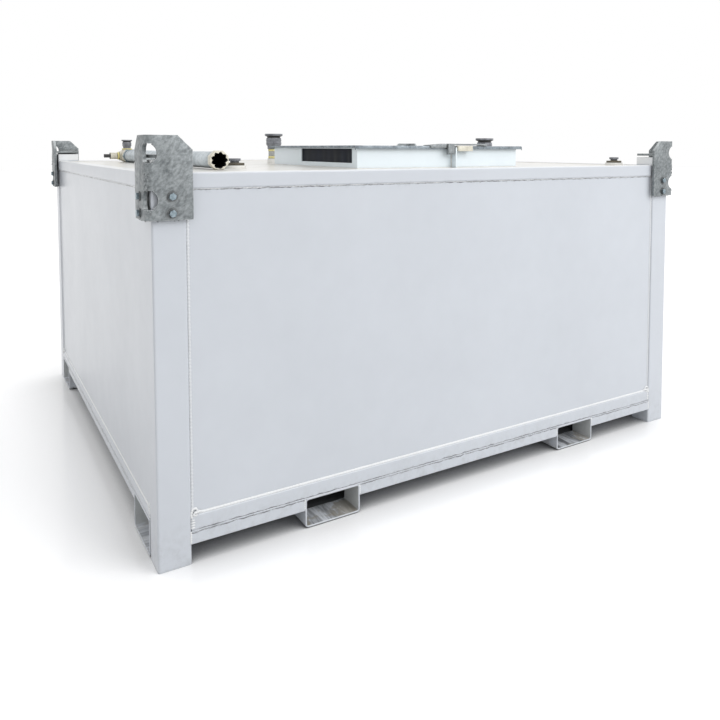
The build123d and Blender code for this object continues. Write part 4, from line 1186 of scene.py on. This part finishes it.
class TANK_OT_brackets(bpy.types.Operator):
    """Galvanised lifting brackets and packers with eased edges, seams and zinc drips"""
    bl_idname = "tank.brackets"
    bl_label = "Lifting Brackets"

    def execute(self, context):
        metal = context.scene.tank_metal
        weld = context.scene.tank_weld
        zinc = bracket_zinc()
        seated = ("tank", "galvanised_steel")
        full_turn = 6.28
        for corner in CORNERS:
            eased_copy(["lifting_bracket_" + corner], "bracket_plate_" + corner, zinc, *seated, metal.edge)
        eased_copy(["bracket_packers"], "packers", zinc, *seated, metal.edge * 0.6)
        seams = []
        drips = []
        chance = random.Random(metal.seed)
        for corner in CORNERS:
            seams += self.seams(corner)
            drips += self.drips(corner, metal, chance)
        beads("bracket_seams", seams, zinc, *seated, weld.small_radius, weld.small_pitch, weld.depth,
              weld.wander, seed=5.0)
        bm = bmesh.new()
        bmesh.ops.create_icosphere(bm, subdivisions=2, radius=metal.drip_radius)
        bmesh.ops.scale(bm, vec=(1.0, 1.0, 1.7), verts=bm.verts)
        pattern = new_object("drip_pattern", mesh_from(bm, "drip_pattern"))
        piece = spread("zinc_drips", pattern, drips, zinc, Spin=full_turn, Smallest=0.45, Largest=1.25,
                       Seed=metal.seed)
        seat(piece, *seated)
        return {"FINISHED"}

    def seams(self, corner):
        """Two seams of the stacking plate, one along the inside of each leg."""
        plate = 0.012
        ends = (0.052, 0.118)
        over_post = 0.017
        side_x, side_y = corner_signs(corner)
        outer, _ = outer_corner(corner)
        height = side_of("corner_post_" + corner, 2, 1) + over_post
        front = [(outer.x - side_x * reach, outer.y - side_y * plate, height) for reach in ends]
        side = [(outer.x - side_x * plate, outer.y - side_y * reach, height) for reach in ends]
        return [straight(*front), straight(*side)]

    def drips(self, corner, metal, chance):
        """Places of the drips under both legs, of the crust on the bend and of two lumps below it."""
        crust_low, crust_tall = 0.086, 0.055
        lumps = [0.029, 0.024]
        bend = 0.022
        down = Vector((0.0, 0.0, -1.0))
        side_x, side_y = corner_signs(corner)
        outer, leg = outer_corner(corner)
        places = []
        for _ in range(metal.drips):
            reach = leg * (0.2 + 0.75 * chance.random())
            into = 0.002 + 0.008 * chance.random()
            places.append((outer + Vector((-side_x * reach, -side_y * into, 0.0)), down))
            places.append((outer + Vector((-side_x * into, -side_y * reach, 0.0)), down))
        crust = [crust_low + crust_tall * chance.random() for _ in range(metal.crust)]
        for height in crust + lumps:
            turn = math.radians(15 + 60 * chance.random())
            out = Vector((side_x * math.cos(turn), side_y * math.sin(turn), 0.0))
            centre = outer - Vector((side_x * bend, side_y * bend, -height))
            places.append((centre + out * bend, (out + Vector((0.0, 0.0, -2.5))).normalized()))
        return places


class TANK_OT_bolts(bpy.types.Operator):
    """Hexagon bolts with washers and nuts in the legs of the lifting brackets"""
    bl_idname = "tank.bolts"
    bl_label = "Bracket Bolts"

    def execute(self, context):
        size = context.scene.tank_bolt
        low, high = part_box("bracket_bolts")
        heights = (low.z + size.washer_radius, high.z - size.washer_radius)
        face_x = side_of("lifting_bracket_front_right", 0, 1)
        face_y = side_of("lifting_bracket_back_left", 1, 1)
        places = []
        for side_x, side_y in map(corner_signs, CORNERS):
            for height in heights:
                places.append((Vector((side_x * (HALF_X - size.inset), side_y * face_y, height)),
                               Vector((0.0, side_y, 0.0))))
                places.append((Vector((side_x * face_x, side_y * (HALF_Y - size.inset), height)),
                               Vector((side_x, 0.0, 0.0))))
        bolts = spread("bolt_set", self.bolt(size), places, bolt_zinc(), Spin=math.radians(60),
                       Seed=size.seed)
        seat(bolts, "tank", "zinc_bolts", "bracket_bolts")
        seat(spread("washer_set", self.washer(size), places, washer_zinc()), "tank", "zinc_bolts")
        return {"FINISHED"}

    def washer(self, size):
        """One washer along Z, from the outer face of the bracket."""
        radius, thick = size.washer_radius, size.washer_thickness
        bm = bmesh.new()
        lathe(bm, eased([(0, 0), (radius, 0), (radius, thick), (0, thick)], 0.0005), Vector(), 40)
        return new_object("washer_pattern", mesh_from(bm, "washer_pattern"))

    def bolt(self, size):
        """One bolt with its nut along Z, from the outer face of the bracket."""
        turns = 9
        past_nut = 0.003
        end = 0.004
        bm = bmesh.new()
        nut_low = -size.grip - size.nut_height
        hexagon(bm, size.head_flats, size.washer_thickness, size.washer_thickness + size.head_height)
        hexagon(bm, size.head_flats, nut_low, -size.grip)
        thread = [(0, nut_low - end), (size.shank_radius * 0.85, nut_low - end)]
        for turn in range(turns):
            height = nut_low - past_nut + turn * (size.nut_height + 2 * past_nut) / turns
            thread += [(size.shank_radius, height), (size.shank_radius * 0.88, height + 0.001)]
        thread += [(size.shank_radius, -size.grip + 0.004), (size.shank_radius, 0.0), (0, 0.0)]
        lathe(bm, thread, Vector(), 24)
        return new_object("bolt_pattern", mesh_from(bm, "bolt_pattern"))


class TANK_OT_welds(bpy.types.Operator):
    """Weld beads of the bund, its rails and posts, the edge bars, the deck and the bay"""
    bl_idname = "tank.welds"
    bl_label = "Weld Beads"

    def execute(self, context):
        weld = context.scene.tank_weld
        bright = bead_enamel()
        thin, pitch, small_pitch = weld.thin_radius, weld.pitch, weld.small_pitch
        for number, wall in enumerate(WALLS):
            upright, level = self.panel(wall, weld)
            stacked, short = self.joints(wall)
            # Name, paths, finish, radius, pitch, depth, wander, seed and sides of each piece on a wall
            for name, paths, finish, *sizes, seed, sides in (
                    ("upright_beads_", upright, upright_enamel(), weld.radius * 0.9, pitch, weld.depth,
                     weld.wander, 10.0, 8),
                    ("sill_bead_", level, bright, weld.radius * 0.9, pitch, weld.depth * 0.45,
                     weld.wander * 1.3, 15.0, 8),
                    ("rim_seam_", self.rim_seam(wall), bright, thin * 0.9, pitch, weld.depth * 1.3,
                     3.0, 20.0, 6),
                    ("sill_seam_", self.sill_seam(wall), tank_enamel(), thin * 0.95, pitch, weld.depth,
                     2.6, 25.0, 6),
                    ("stacked_beads_", stacked, bright, weld.radius * 1.3, small_pitch * 1.15,
                     weld.depth * 1.5, weld.wander * 0.6, 35.0, 14),
                    ("joint_beads_", short, bright, weld.small_radius, small_pitch, weld.depth,
                     weld.wander, 30.0, 8)):
                beads(name + wall, paths, finish, "tank", "tank_white", *sizes, seed + number, sides)
        for name, paths, step, seed in (
                ("deck_seams", self.deck(), pitch, 40.0),
                ("fitting_seams", self.fittings(context.scene.tank_fitting), small_pitch, 41.0)):
            beads(name, paths, deck_enamel(), "tank", "tank_white", thin, step, weld.depth, weld.wander,
                  seed, sides=6)
        return {"FINISHED"}

    def panel(self, wall, weld):
        """Upright beads between a panel and the posts, and the bead on the bottom rail."""
        end = wall_end(wall) - weld.lean
        depth = PANEL_SET + weld.sink
        low = RAIL_TOP + 0.001
        upright = [wall_path(wall, (side * end, depth, RIM_UNDER), (side * end, depth, low))
                   for side in (-1, 1)]
        return upright, [wall_path(wall, (-end, depth, low), (end, depth, low))]

    def rim_seam(self, wall):
        """The thin seam under the top rail."""
        end = wall_end(wall)
        return [wall_path(wall, (-end, PANEL_SET, RIM_UNDER), (end, PANEL_SET, RIM_UNDER))]

    def sill_seam(self, wall):
        """The thin seam between a bottom rail and the edge bars and pockets under it."""
        end = wall_end(wall)
        depth = 0.0014
        if wall in Y_WALLS:
            depth = HALF_X - side_of("bottom_rail_right", 0, 1) + depth
        under = rail_under(wall)
        return [wall_path(wall, (-end, depth, under), (end, depth, under))]

    def joints(self, wall):
        """Stacked beads between the bottom rail and the posts, and the short beads of the other joints, with
        the loop where the bottom bead meets the post."""
        depth = 0.003
        inside = 0.0015
        stack_in, stack_depth = 0.005, 0.0072
        # The loop's (in from the post, depth, height over the bottom rail)
        loop = ((0.005, depth, -0.014), (0.001, 0.003, 0.002), (0.005, 0.004, 0.016),
                (0.015, PANEL_SET, 0.019), (0.021, PANEL_SET, 0.01), (0.017, 0.003, -0.003),
                (0.007, 0.002, -0.002), (0.012, 0.001, 0.006), (0.026, 0.003, 0.007),
                (0.042, PANEL_SET + 0.003, 0.001))
        end = wall_end(wall)
        under = rail_under(wall)
        stacked = []
        paths = []
        for side in (-1, 1):
            at = side * (end + inside)
            if wall in X_WALLS:
                paths.append(wall_path(wall, (at, depth, BAR_UNDER), (at, depth, under)))
            stack = side * (end - stack_in)
            stacked.append(wall_path(wall, (stack, stack_depth, under + 0.001),
                                     (stack, stack_depth, RAIL_TOP - 0.006)))
            paths.append(wall_path(wall, (at, depth, RIM_UNDER), (at, depth, RIM_TOP)))
            paths.append(wall_path(wall, (at, depth, RIM_TOP), (at, RAIL_SIDE, RIM_TOP - 0.001)))
            paths.append(wall_path(wall, *[(at - side * step, back, RAIL_TOP + over)
                                           for step, back, over in loop]))
        if wall in X_WALLS:
            bar_under = BAR_UNDER
            ends = [x * WALL_RUN[wall].x for node in ("fork_pocket_left", "fork_pocket_right")
                    for x in (side_of(node, 0, 0), side_of(node, 0, 1))]
        else:
            bar_under = SIDE_BAR_UNDER
            ends = [min(side_of(node, 1, 0), side_of(node, 1, 1), key=abs) * WALL_RUN[wall].y
                    for node in ("cross_pocket_front", "cross_pocket_back")]
        paths += [wall_path(wall, (along, depth, bar_under), (along, depth, under)) for along in ends]
        return stacked, paths

    def deck(self):
        """The seam of the deck inside the rim, and the seam round the foot of the bay's walls."""
        edge_x, edge_y = HALF_X - RAIL_SIDE, HALF_Y - RAIL_SIDE
        post_x, post_y = HALF_X - POST_SIDE, HALF_Y - POST_SIDE
        round_deck = []
        for side_x, side_y in ((-1, -1), (1, -1), (1, 1), (-1, 1)):
            turn = [(edge_x, post_y), (post_x, post_y), (post_x, edge_y)]
            if side_x != side_y:
                turn.reverse()
            round_deck += [Vector((side_x * x, side_y * y, DECK_TOP)) for x, y in turn]
        left, right = side_of("bay_wall_front", 0, 0), side_of("bay_wall_front", 0, 1)
        front, back = side_of("bay_wall_front", 1, 0), side_of("bay_wall_back", 1, 1)
        round_bay = ((left, front), (right, front), (right, back), (left, back))
        return [(round_deck, True), ([Vector((x, y, DECK_TOP)) for x, y in round_bay], True)]

    def fittings(self, fitting):
        """Rings round the feet of the sockets, and the seams of the lock post and the hinge arms."""
        below_lid = 0.008
        hinge_seam = 0.008
        paths = []
        for nodes, radius in ((("fill_cap", "dip_cap"), fitting.socket_radius),
                              (("tank_vent", "bund_vent"), fitting.vent_socket_radius)):
            for node in nodes:
                centre = middle_of(node)
                paths.append(level_ring((centre.x, centre.y, DECK_TOP), radius, 40))
        low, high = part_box("lock_post")
        top = side_of("bay_lid", 2, 0) - below_lid
        paths += [straight((x, high.y, low.z), (x, high.y, top)) for x in (low.x, high.x)]
        low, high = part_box("hinge_frame_halves")
        paths += [straight((x, low.y, low.z), (x, low.y, low.z + hinge_seam)) for x in (low.x, high.x)]
        return paths


class TANK_OT_bay(bpy.types.Operator):
    """The equipment bay: painted walls, the folded rubber flap, the lock post and the hinges"""
    bl_idname = "tank.bay"
    bl_label = "Equipment Bay"

    def execute(self, context):
        edge = context.scene.tank_metal.edge
        dress(bay_enamel(), "bay_floor", *["bay_wall_" + wall for wall in WALLS])
        eased_copy(["lock_post"], "lock_post_plate", bay_enamel(), "tank", "bay_white", edge)
        eased_copy(["hinge_frame_halves"], "hinge_arms", lock_steel(), "tank", "lock_steel", edge)
        self.flap(context.scene.tank_fitting)
        return {"FINISHED"}

    def flap(self, fitting):
        """Rubber in upright folds behind the hose opening."""
        low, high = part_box("hose_flap")
        folds, depth = fitting.flap_folds, fitting.fold_depth
        columns, rows = folds * 8, 10
        middle = (low.x + high.x) / 2
        bm = bmesh.new()
        grid = []
        for column in range(columns + 1):
            share = column / columns
            swing = math.sin(2 * math.pi * folds * share + 0.8 * math.sin(11 * share))
            y = low.y + (high.y - low.y) * share
            line = []
            for row in range(rows + 1):
                drop = row / rows
                loose = 0.25 + 0.75 * drop
                bulge = depth * loose * (0.6 + 0.4 * math.sin(5.3 * share + 1.0)) * swing
                z = high.z + (low.z - high.z) * drop
                line.append(bm.verts.new((middle + depth + bulge, y, z)))
            grid.append(line)
        for left, right in zip(grid, grid[1:]):
            for row in range(rows):
                bm.faces.new((left[row], right[row], right[row + 1], left[row + 1]))
        item = new_object("rubber_flap", mesh_from(bm, "rubber_flap", flap_rubber()))
        solid = item.modifiers.new("thickness", "SOLIDIFY")
        solid.thickness = (high.x - low.x) * 0.6
        solid.offset = 0.0
        seat(item, "tank", "flap_rubber", "hose_flap")


class TANK_OT_lid(bpy.types.Operator):
    """The lid of the bay with its lock bar and pull"""
    bl_idname = "tank.lid"
    bl_label = "Bay Lid"

    def execute(self, context):
        weld = context.scene.tank_weld
        edge = context.scene.tank_metal.edge
        eased_copy(["bay_lid"], "lid_plate", lid_zinc(), "lid", "galvanised_steel", edge)
        eased_copy(["lock_bar"], "lock_bar_plate", lock_steel(), "lid", "lock_steel", edge)
        eased_copy(["lid_pull"], "pull_handle", cream_fitting(), "lid", "cream_fitting", edge)
        low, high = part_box("bay_lid")
        seams = [straight((x, low.y, low.z + 0.001), (x, low.y, high.z - 0.002))
                 for x in (low.x + 0.001, high.x - 0.001)]
        bar_low, bar_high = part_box("lock_bar")
        bar_y = bar_low.y + 0.016
        hidden_end = 0.17
        seams.append(straight((bar_low.x + 0.01, bar_y, high.z), (bar_high.x - hidden_end, bar_y, high.z)))
        beads("lid_seams", seams, lid_zinc(), "lid", "galvanised_steel", weld.thin_radius * 0.8,
              weld.small_pitch, weld.depth, weld.wander, seed=50.0, sides=6)
        return {"FINISHED"}


class TANK_OT_vents(bpy.types.Operator):
    """The vents on their nipples, with sealing tape on the threads"""
    bl_idname = "tank.vents"
    bl_label = "Vents"

    def execute(self, context):
        fitting = context.scene.tank_fitting
        width = fitting.tape_width
        dress(nipple_zinc(), "vent_nipples")
        for node in ("tank_vent", "bund_vent", "tee_vent"):
            self.vent(node)
        on_deck = ("tank_vent", "bund_vent")
        socket_top = side_of("vent_nipples", 2, 0)
        spots = [self.spot(node, side_of(node, 2, 0) - width * 0.8) for node in on_deck]
        spots += [self.spot(node, socket_top + width * 0.5) for node in on_deck]
        self.tape("vent_tape", spots, fitting.nipple_radius + 0.0006, width, 61.0)
        on_tee = self.spot("tee_vent", side_of("tee_vent", 2, 0) - width * 0.5)
        tee_tape_radius = 0.0246
        self.tape("tee_tape", [on_tee], tee_tape_radius, width * 0.5, 62.0)
        return {"FINISHED"}

    def spot(self, node, height):
        """The place in a node's middle, at a height."""
        centre = middle_of(node)
        return Vector((centre.x, centre.y, height))

    def tape(self, name, spots, radius, width, seed):
        """Thread sealing tape wound at each spot."""
        piece = grow(name, points_mesh(name, spots), tape_tree(), Radius=radius, Turns=3.6,
                     Rise=width * 0.35, Tape_Width=width, Tape_Thickness=0.0007, Seed=seed,
                     Material=tape_yellow())
        seat(piece, "tank", "cream_fitting")

    def vent(self, node):
        """A vent turned as one: base, ribbed cup, air slot and rim, with a screw in its sunk top."""
        place, rim, tall = foot_of(node)
        shape = [(0, 0), (0.72, 0), (0.72, 0.2), (0.76, 0.22), (0.84, 0.26), (0.84, 0.35), (0.875, 0.37),
                 (0.875, 0.41), (0.84, 0.43), (0.84, 0.53), (0.875, 0.55), (0.875, 0.59), (0.84, 0.61),
                 (0.84, 0.7), (0.78, 0.74), (0.74, 0.74), (0.74, 0.805), (1, 0.87), (1, 1), (0.82, 1),
                 (0.79, 0.96), (0, 0.96)]
        bm = bmesh.new()
        lathe(bm, eased([(radius * rim, height * tall) for radius, height in shape], rim * 0.04), place, 64)
        screw = bmesh.new()
        hexagon(screw, rim * 0.3, tall * 0.95, tall * 0.985, 24)
        bmesh.ops.translate(screw, vec=place, verts=screw.verts)
        spare = bpy.data.meshes.new("screw")
        screw.to_mesh(spare)
        screw.free()
        bm.from_mesh(spare)
        bpy.data.meshes.remove(spare)
        mesh = mesh_from(bm, node + "_turned", vent_grey(), valve_black())
        second_finish(mesh, place.z + tall * 0.725, place.z + tall * 0.88)      # the air slot and the rim's underside, painted black as shade
        seat(new_object(node + "_turned", mesh), "tank", "vent_grey", node)


class TANK_OT_caps(bpy.types.Operator):
    """The screw caps of the fill and dip pipes"""
    bl_idname = "tank.caps"
    bl_label = "Screw Caps"

    def execute(self, context):
        for node in ("fill_cap", "dip_cap"):
            self.cap(node)
        return {"FINISHED"}

    def cap(self, node):
        """A fluted disc, a neck and a head with a sunk top."""
        place, disc, tall = foot_of(node)
        shape = [(0, 0), (1, 0), (1, 0.35), (0.55, 0.35), (0.45, 0.4), (0.45, 0.61), (0.62, 0.63),
                 (0.62, 1), (0.46, 1), (0.43, 0.95), (0, 0.95)]
        bm = bmesh.new()
        lathe(bm, eased([(radius * disc, height * tall) for radius, height in shape], disc * 0.03), place,
              segments=144, flutes=24, flute_depth=disc * 0.035, fluted_from=disc * 0.9)
        mesh = mesh_from(bm, node + "_turned", cap_grey(), vent_grey())
        second_finish(mesh, place.z + tall * 0.5, math.inf)                     # the head
        seat(new_object(node + "_turned", mesh), "tank", "cap_grey", node)


class TANK_OT_pipe(bpy.types.Operator):
    """The transfer pipe with its end ring, union, tee and valve"""
    bl_idname = "tank.pipe"
    bl_label = "Transfer Pipe"

    def execute(self, context):
        edge = context.scene.tank_metal.edge
        dress(pipe_zinc(), "transfer_pipe")
        eased_copy(["pipe_end_ring"], "end_ring", cream_fitting(), "tank", "cream_fitting", edge)
        eased_copy(["pipe_tee"], "tee_body", cream_fitting(), "tank", "cream_fitting", edge)
        valve = eased_copy(["tee_valve"], "valve_body", cream_fitting(), "tank", "valve_black", edge)
        lever_long = 0.034
        self.dip_lever(valve.data, side_of("tee_valve", 0, 0) + lever_long)
        low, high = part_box("transfer_pipe")
        centre = (low + high) / 2
        mouth = Vector((centre.x, low.y, centre.z))
        self.mouth_lip(mouth, (high.x - low.x) / 2, context.scene.tank_fitting)
        self.branch_tape(centre.z)
        self.union_nut(centre, high.y)
        return {"FINISHED"}

    def branch_tape(self, height):
        """Tape on the thread between the tee and its valve."""
        low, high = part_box("tee_valve")
        girth = 0.0172
        wound = [(girth - 0.001, -0.0105), (girth + 0.002, -0.0095), (girth + 0.0028, -0.006),
                 (girth + 0.002, -0.002), (girth - 0.001, -0.0008)]
        bm = bmesh.new()
        lathe(bm, eased(wound, 0.0006), Vector((high.x, (low.y + high.y) / 2, height)), 72, axis="X")
        tape = new_object("branch_tape", mesh_from(bm, "branch_tape", tape_yellow()))
        seat(tape, "tank", "cream_fitting")

    def union_nut(self, centre, pipe_end):
        """The hexagon nut between the pipe and the tee."""
        long, overlap = 0.026, 0.03
        across = (side_of("pipe_tee", 2, 0) - centre.z) * -2
        bm = bmesh.new()
        hexagon(bm, across * 0.99, 0.0, long, 48)
        turned = Matrix.Translation((centre.x, pipe_end - overlap, centre.z))
        turned @= Matrix.Rotation(math.radians(-90), 4, "X")
        turned @= Matrix.Rotation(math.radians(30), 4, "Z")
        bmesh.ops.transform(bm, matrix=turned, verts=bm.verts)
        nut = new_object("union_nut", mesh_from(bm, "union_nut", bolt_zinc()))
        seat(nut, "tank", "zinc_bolts")

    def dip_lever(self, mesh, end):
        """Black plastic on the lever, up to a clean end."""
        bm = bmesh.new()
        bm.from_mesh(mesh)
        whole = bm.verts[:] + bm.edges[:] + bm.faces[:]
        bmesh.ops.bisect_plane(bm, geom=whole, plane_co=(end, 0, 0), plane_no=(1, 0, 0))
        for face in bm.faces:
            face.material_index = 1 if face.calc_center_median().x < end else 0
        bm.to_mesh(mesh)
        bm.free()
        mesh.materials.append(valve_black())

    def mouth_lip(self, place, radius, fitting):
        """A thin ring on the pipe's mouth, whose inner edge is torn into uneven teeth."""
        chance = random.Random(fitting.seed)
        teeth, steps = fitting.teeth, 10
        outer, inner = radius * 1.08, radius
        front, back = -0.0015, 0.002
        tips = [inner - radius * (0.06 + 0.2 * chance.random()) for _ in range(teeth)]
        bm = bmesh.new()
        rings = []
        for step in range(teeth * steps):
            tooth, share = divmod(step, steps)
            angle = 2 * math.pi * step / (teeth * steps)
            peak = 1.0 - abs(2.0 * share / steps - 1.0)
            reach = inner + (tips[tooth] - inner) * peak ** 1.3
            section = ((outer, front), (reach, front), (reach, back), (outer, back))
            points = [(far * math.cos(angle), deep, far * math.sin(angle)) for far, deep in section]
            rings.append([bm.verts.new(place + Vector(point)) for point in points])
        for ring, after in zip(rings, rings[1:] + rings[:1]):
            join_rings(bm, ring, after)
        lip = new_object("mouth_lip", mesh_from(bm, "mouth_lip", cream_fitting()))
        seat(lip, "tank", "cream_fitting")


def seen_as_white(w):
    """One for what the camera sees straight, mirrored or through glass, and nothing for light."""
    light = w.add("ShaderNodeLightPath").outputs
    seen = w.maths("MAXIMUM", light["Is Camera Ray"], light["Is Glossy Ray"])
    return w.maths("MAXIMUM", seen, light["Is Transmission Ray"])


class TANK_OT_stage(bpy.types.Operator):
    """The floor, the soft light and the camera"""
    bl_idname = "tank.stage"
    bl_label = "Stage"

    def execute(self, context):
        stage = context.scene.tank_stage
        self.floor(stage)
        self.sky(context, stage)
        self.lamp(stage)
        self.camera(context, stage)
        context.scene.view_settings.view_transform = "Standard"
        return {"FINISHED"}

    def floor(self, stage):
        """A wide pale floor that shows white to the camera and keeps the tank's shadow, with painted shadow
        added under and near the tank.
        """
        bm = bmesh.new()
        bmesh.ops.create_grid(bm, x_segments=2, y_segments=2, size=40.0)
        mesh = bpy.data.meshes.new("studio_floor")
        bm.to_mesh(mesh)
        bm.free()
        material = bpy.data.materials.new("studio_floor")
        material.use_nodes = True
        w = Wiring(material.node_tree)
        sockets = material.node_tree.nodes["Principled BSDF"].inputs
        shown = seen_as_white(w)
        # Painted shadow: the floor's tone and glow fall off where ambient occlusion finds the tank close by
        clear = w.add("ShaderNodeAmbientOcclusion", {"Distance": 0.35}, samples=8).outputs["AO"]
        seen_tone = w.blend(w.ramp(clear, 0.08, 0.5), (0.2, 0.2, 0.205), (0.95, 0.95, 0.955))
        glow = w.maths("MULTIPLY", w.maths("POWER", clear, 2.0), 0.25)
        for socket, value in {
                "Base Color": w.blend(shown, (0.6, 0.6, 0.59), seen_tone),
                "Roughness": w.ramp(w.noise(w.place(), 0.8, 3.0), 0.0, 1.0, 0.12, 0.2),
                "Specular IOR Level": stage.floor, "Emission Color": (1.0, 1.0, 1.0, 1.0),
                "Emission Strength": w.maths("MULTIPLY", shown, glow)}.items():
            w.join(value, sockets[socket])
        mesh.materials.append(material)
        new_object("studio_floor", mesh)

    def sky(self, context, stage):
        """Even light from all round, which the camera and reflections see as white."""
        world = bpy.data.worlds.new("studio")
        context.scene.world = world
        world.use_nodes = True
        w = Wiring(world.node_tree)
        background = world.node_tree.nodes["Background"]
        background.inputs["Color"].default_value = (1.0, 1.0, 1.0, 1.0)
        w.join(w.ramp(seen_as_white(w), 0.0, 1.0, stage.sky, 1.0), background.inputs["Strength"])

    def lamp(self, stage):
        """One large soft lamp in front, to the right and above."""
        data = bpy.data.lights.new("key", "AREA")
        data.size = 4.5
        data.energy = stage.key
        lamp = new_object("key", data)
        lamp.location = (2.6, -6.0, 4.2)
        toward = Vector((0.0, 0.0, 0.6)) - lamp.location
        lamp.rotation_euler = toward.to_track_quat("-Z", "Y").to_euler()

    def camera(self, context, stage):
        """The photograph's camera: its place, the way it looks, its lens and its shift."""
        data = bpy.data.cameras.new("camera")
        data.sensor_width = 36.0
        data.lens = stage.lens
        data.shift_x = stage.shift_x
        data.shift_y = stage.shift_y
        camera = new_object("camera", data)
        look = Matrix.Rotation(-stage.camera_turn, 4, "Z")
        look @= Matrix.Rotation(math.radians(90) - stage.camera_dip, 4, "X")
        look @= Matrix.Rotation(stage.camera_roll, 4, "Z")
        camera.matrix_world = Matrix.Translation(stage.camera_place) @ look
        context.scene.camera = camera


OPERATORS = (TANK_OT_steelwork, TANK_OT_pockets, TANK_OT_brackets, TANK_OT_bolts, TANK_OT_welds, TANK_OT_bay,
             TANK_OT_lid, TANK_OT_vents, TANK_OT_caps, TANK_OT_pipe, TANK_OT_stage)


class TANK_PT_panel(bpy.types.Panel):
    """The tank's settings and the operators that make its pieces"""
    bl_idname = "TANK_PT_panel"
    bl_label = "Fuel Tank"
    bl_space_type = "VIEW_3D"
    bl_region_type = "UI"
    bl_category = "Fuel Tank"

    def draw(self, context):
        layout = self.layout
        for operator in OPERATORS:
            layout.operator(operator.bl_idname)
        for name in SETTINGS:
            box = layout.box()
            settings = getattr(context.scene, name)
            for field in settings.__annotations__:
                box.prop(settings, field)


def register():
    for settings in SETTINGS.values():
        bpy.utils.register_class(settings)
    for name, settings in SETTINGS.items():
        setattr(bpy.types.Scene, name, PointerProperty(type=settings))
    for operator in OPERATORS:
        bpy.utils.register_class(operator)
    bpy.utils.register_class(TANK_PT_panel)


def unregister():
    bpy.utils.unregister_class(TANK_PT_panel)
    for operator in reversed(OPERATORS):
        bpy.utils.unregister_class(operator)
    for name, settings in SETTINGS.items():
        delattr(bpy.types.Scene, name)
        bpy.utils.unregister_class(settings)


def main():
    register()
    for operator in OPERATORS:
        family, name = operator.bl_idname.split(".")
        getattr(getattr(bpy.ops, family), name)()


if __name__ == "__main__":
    main()
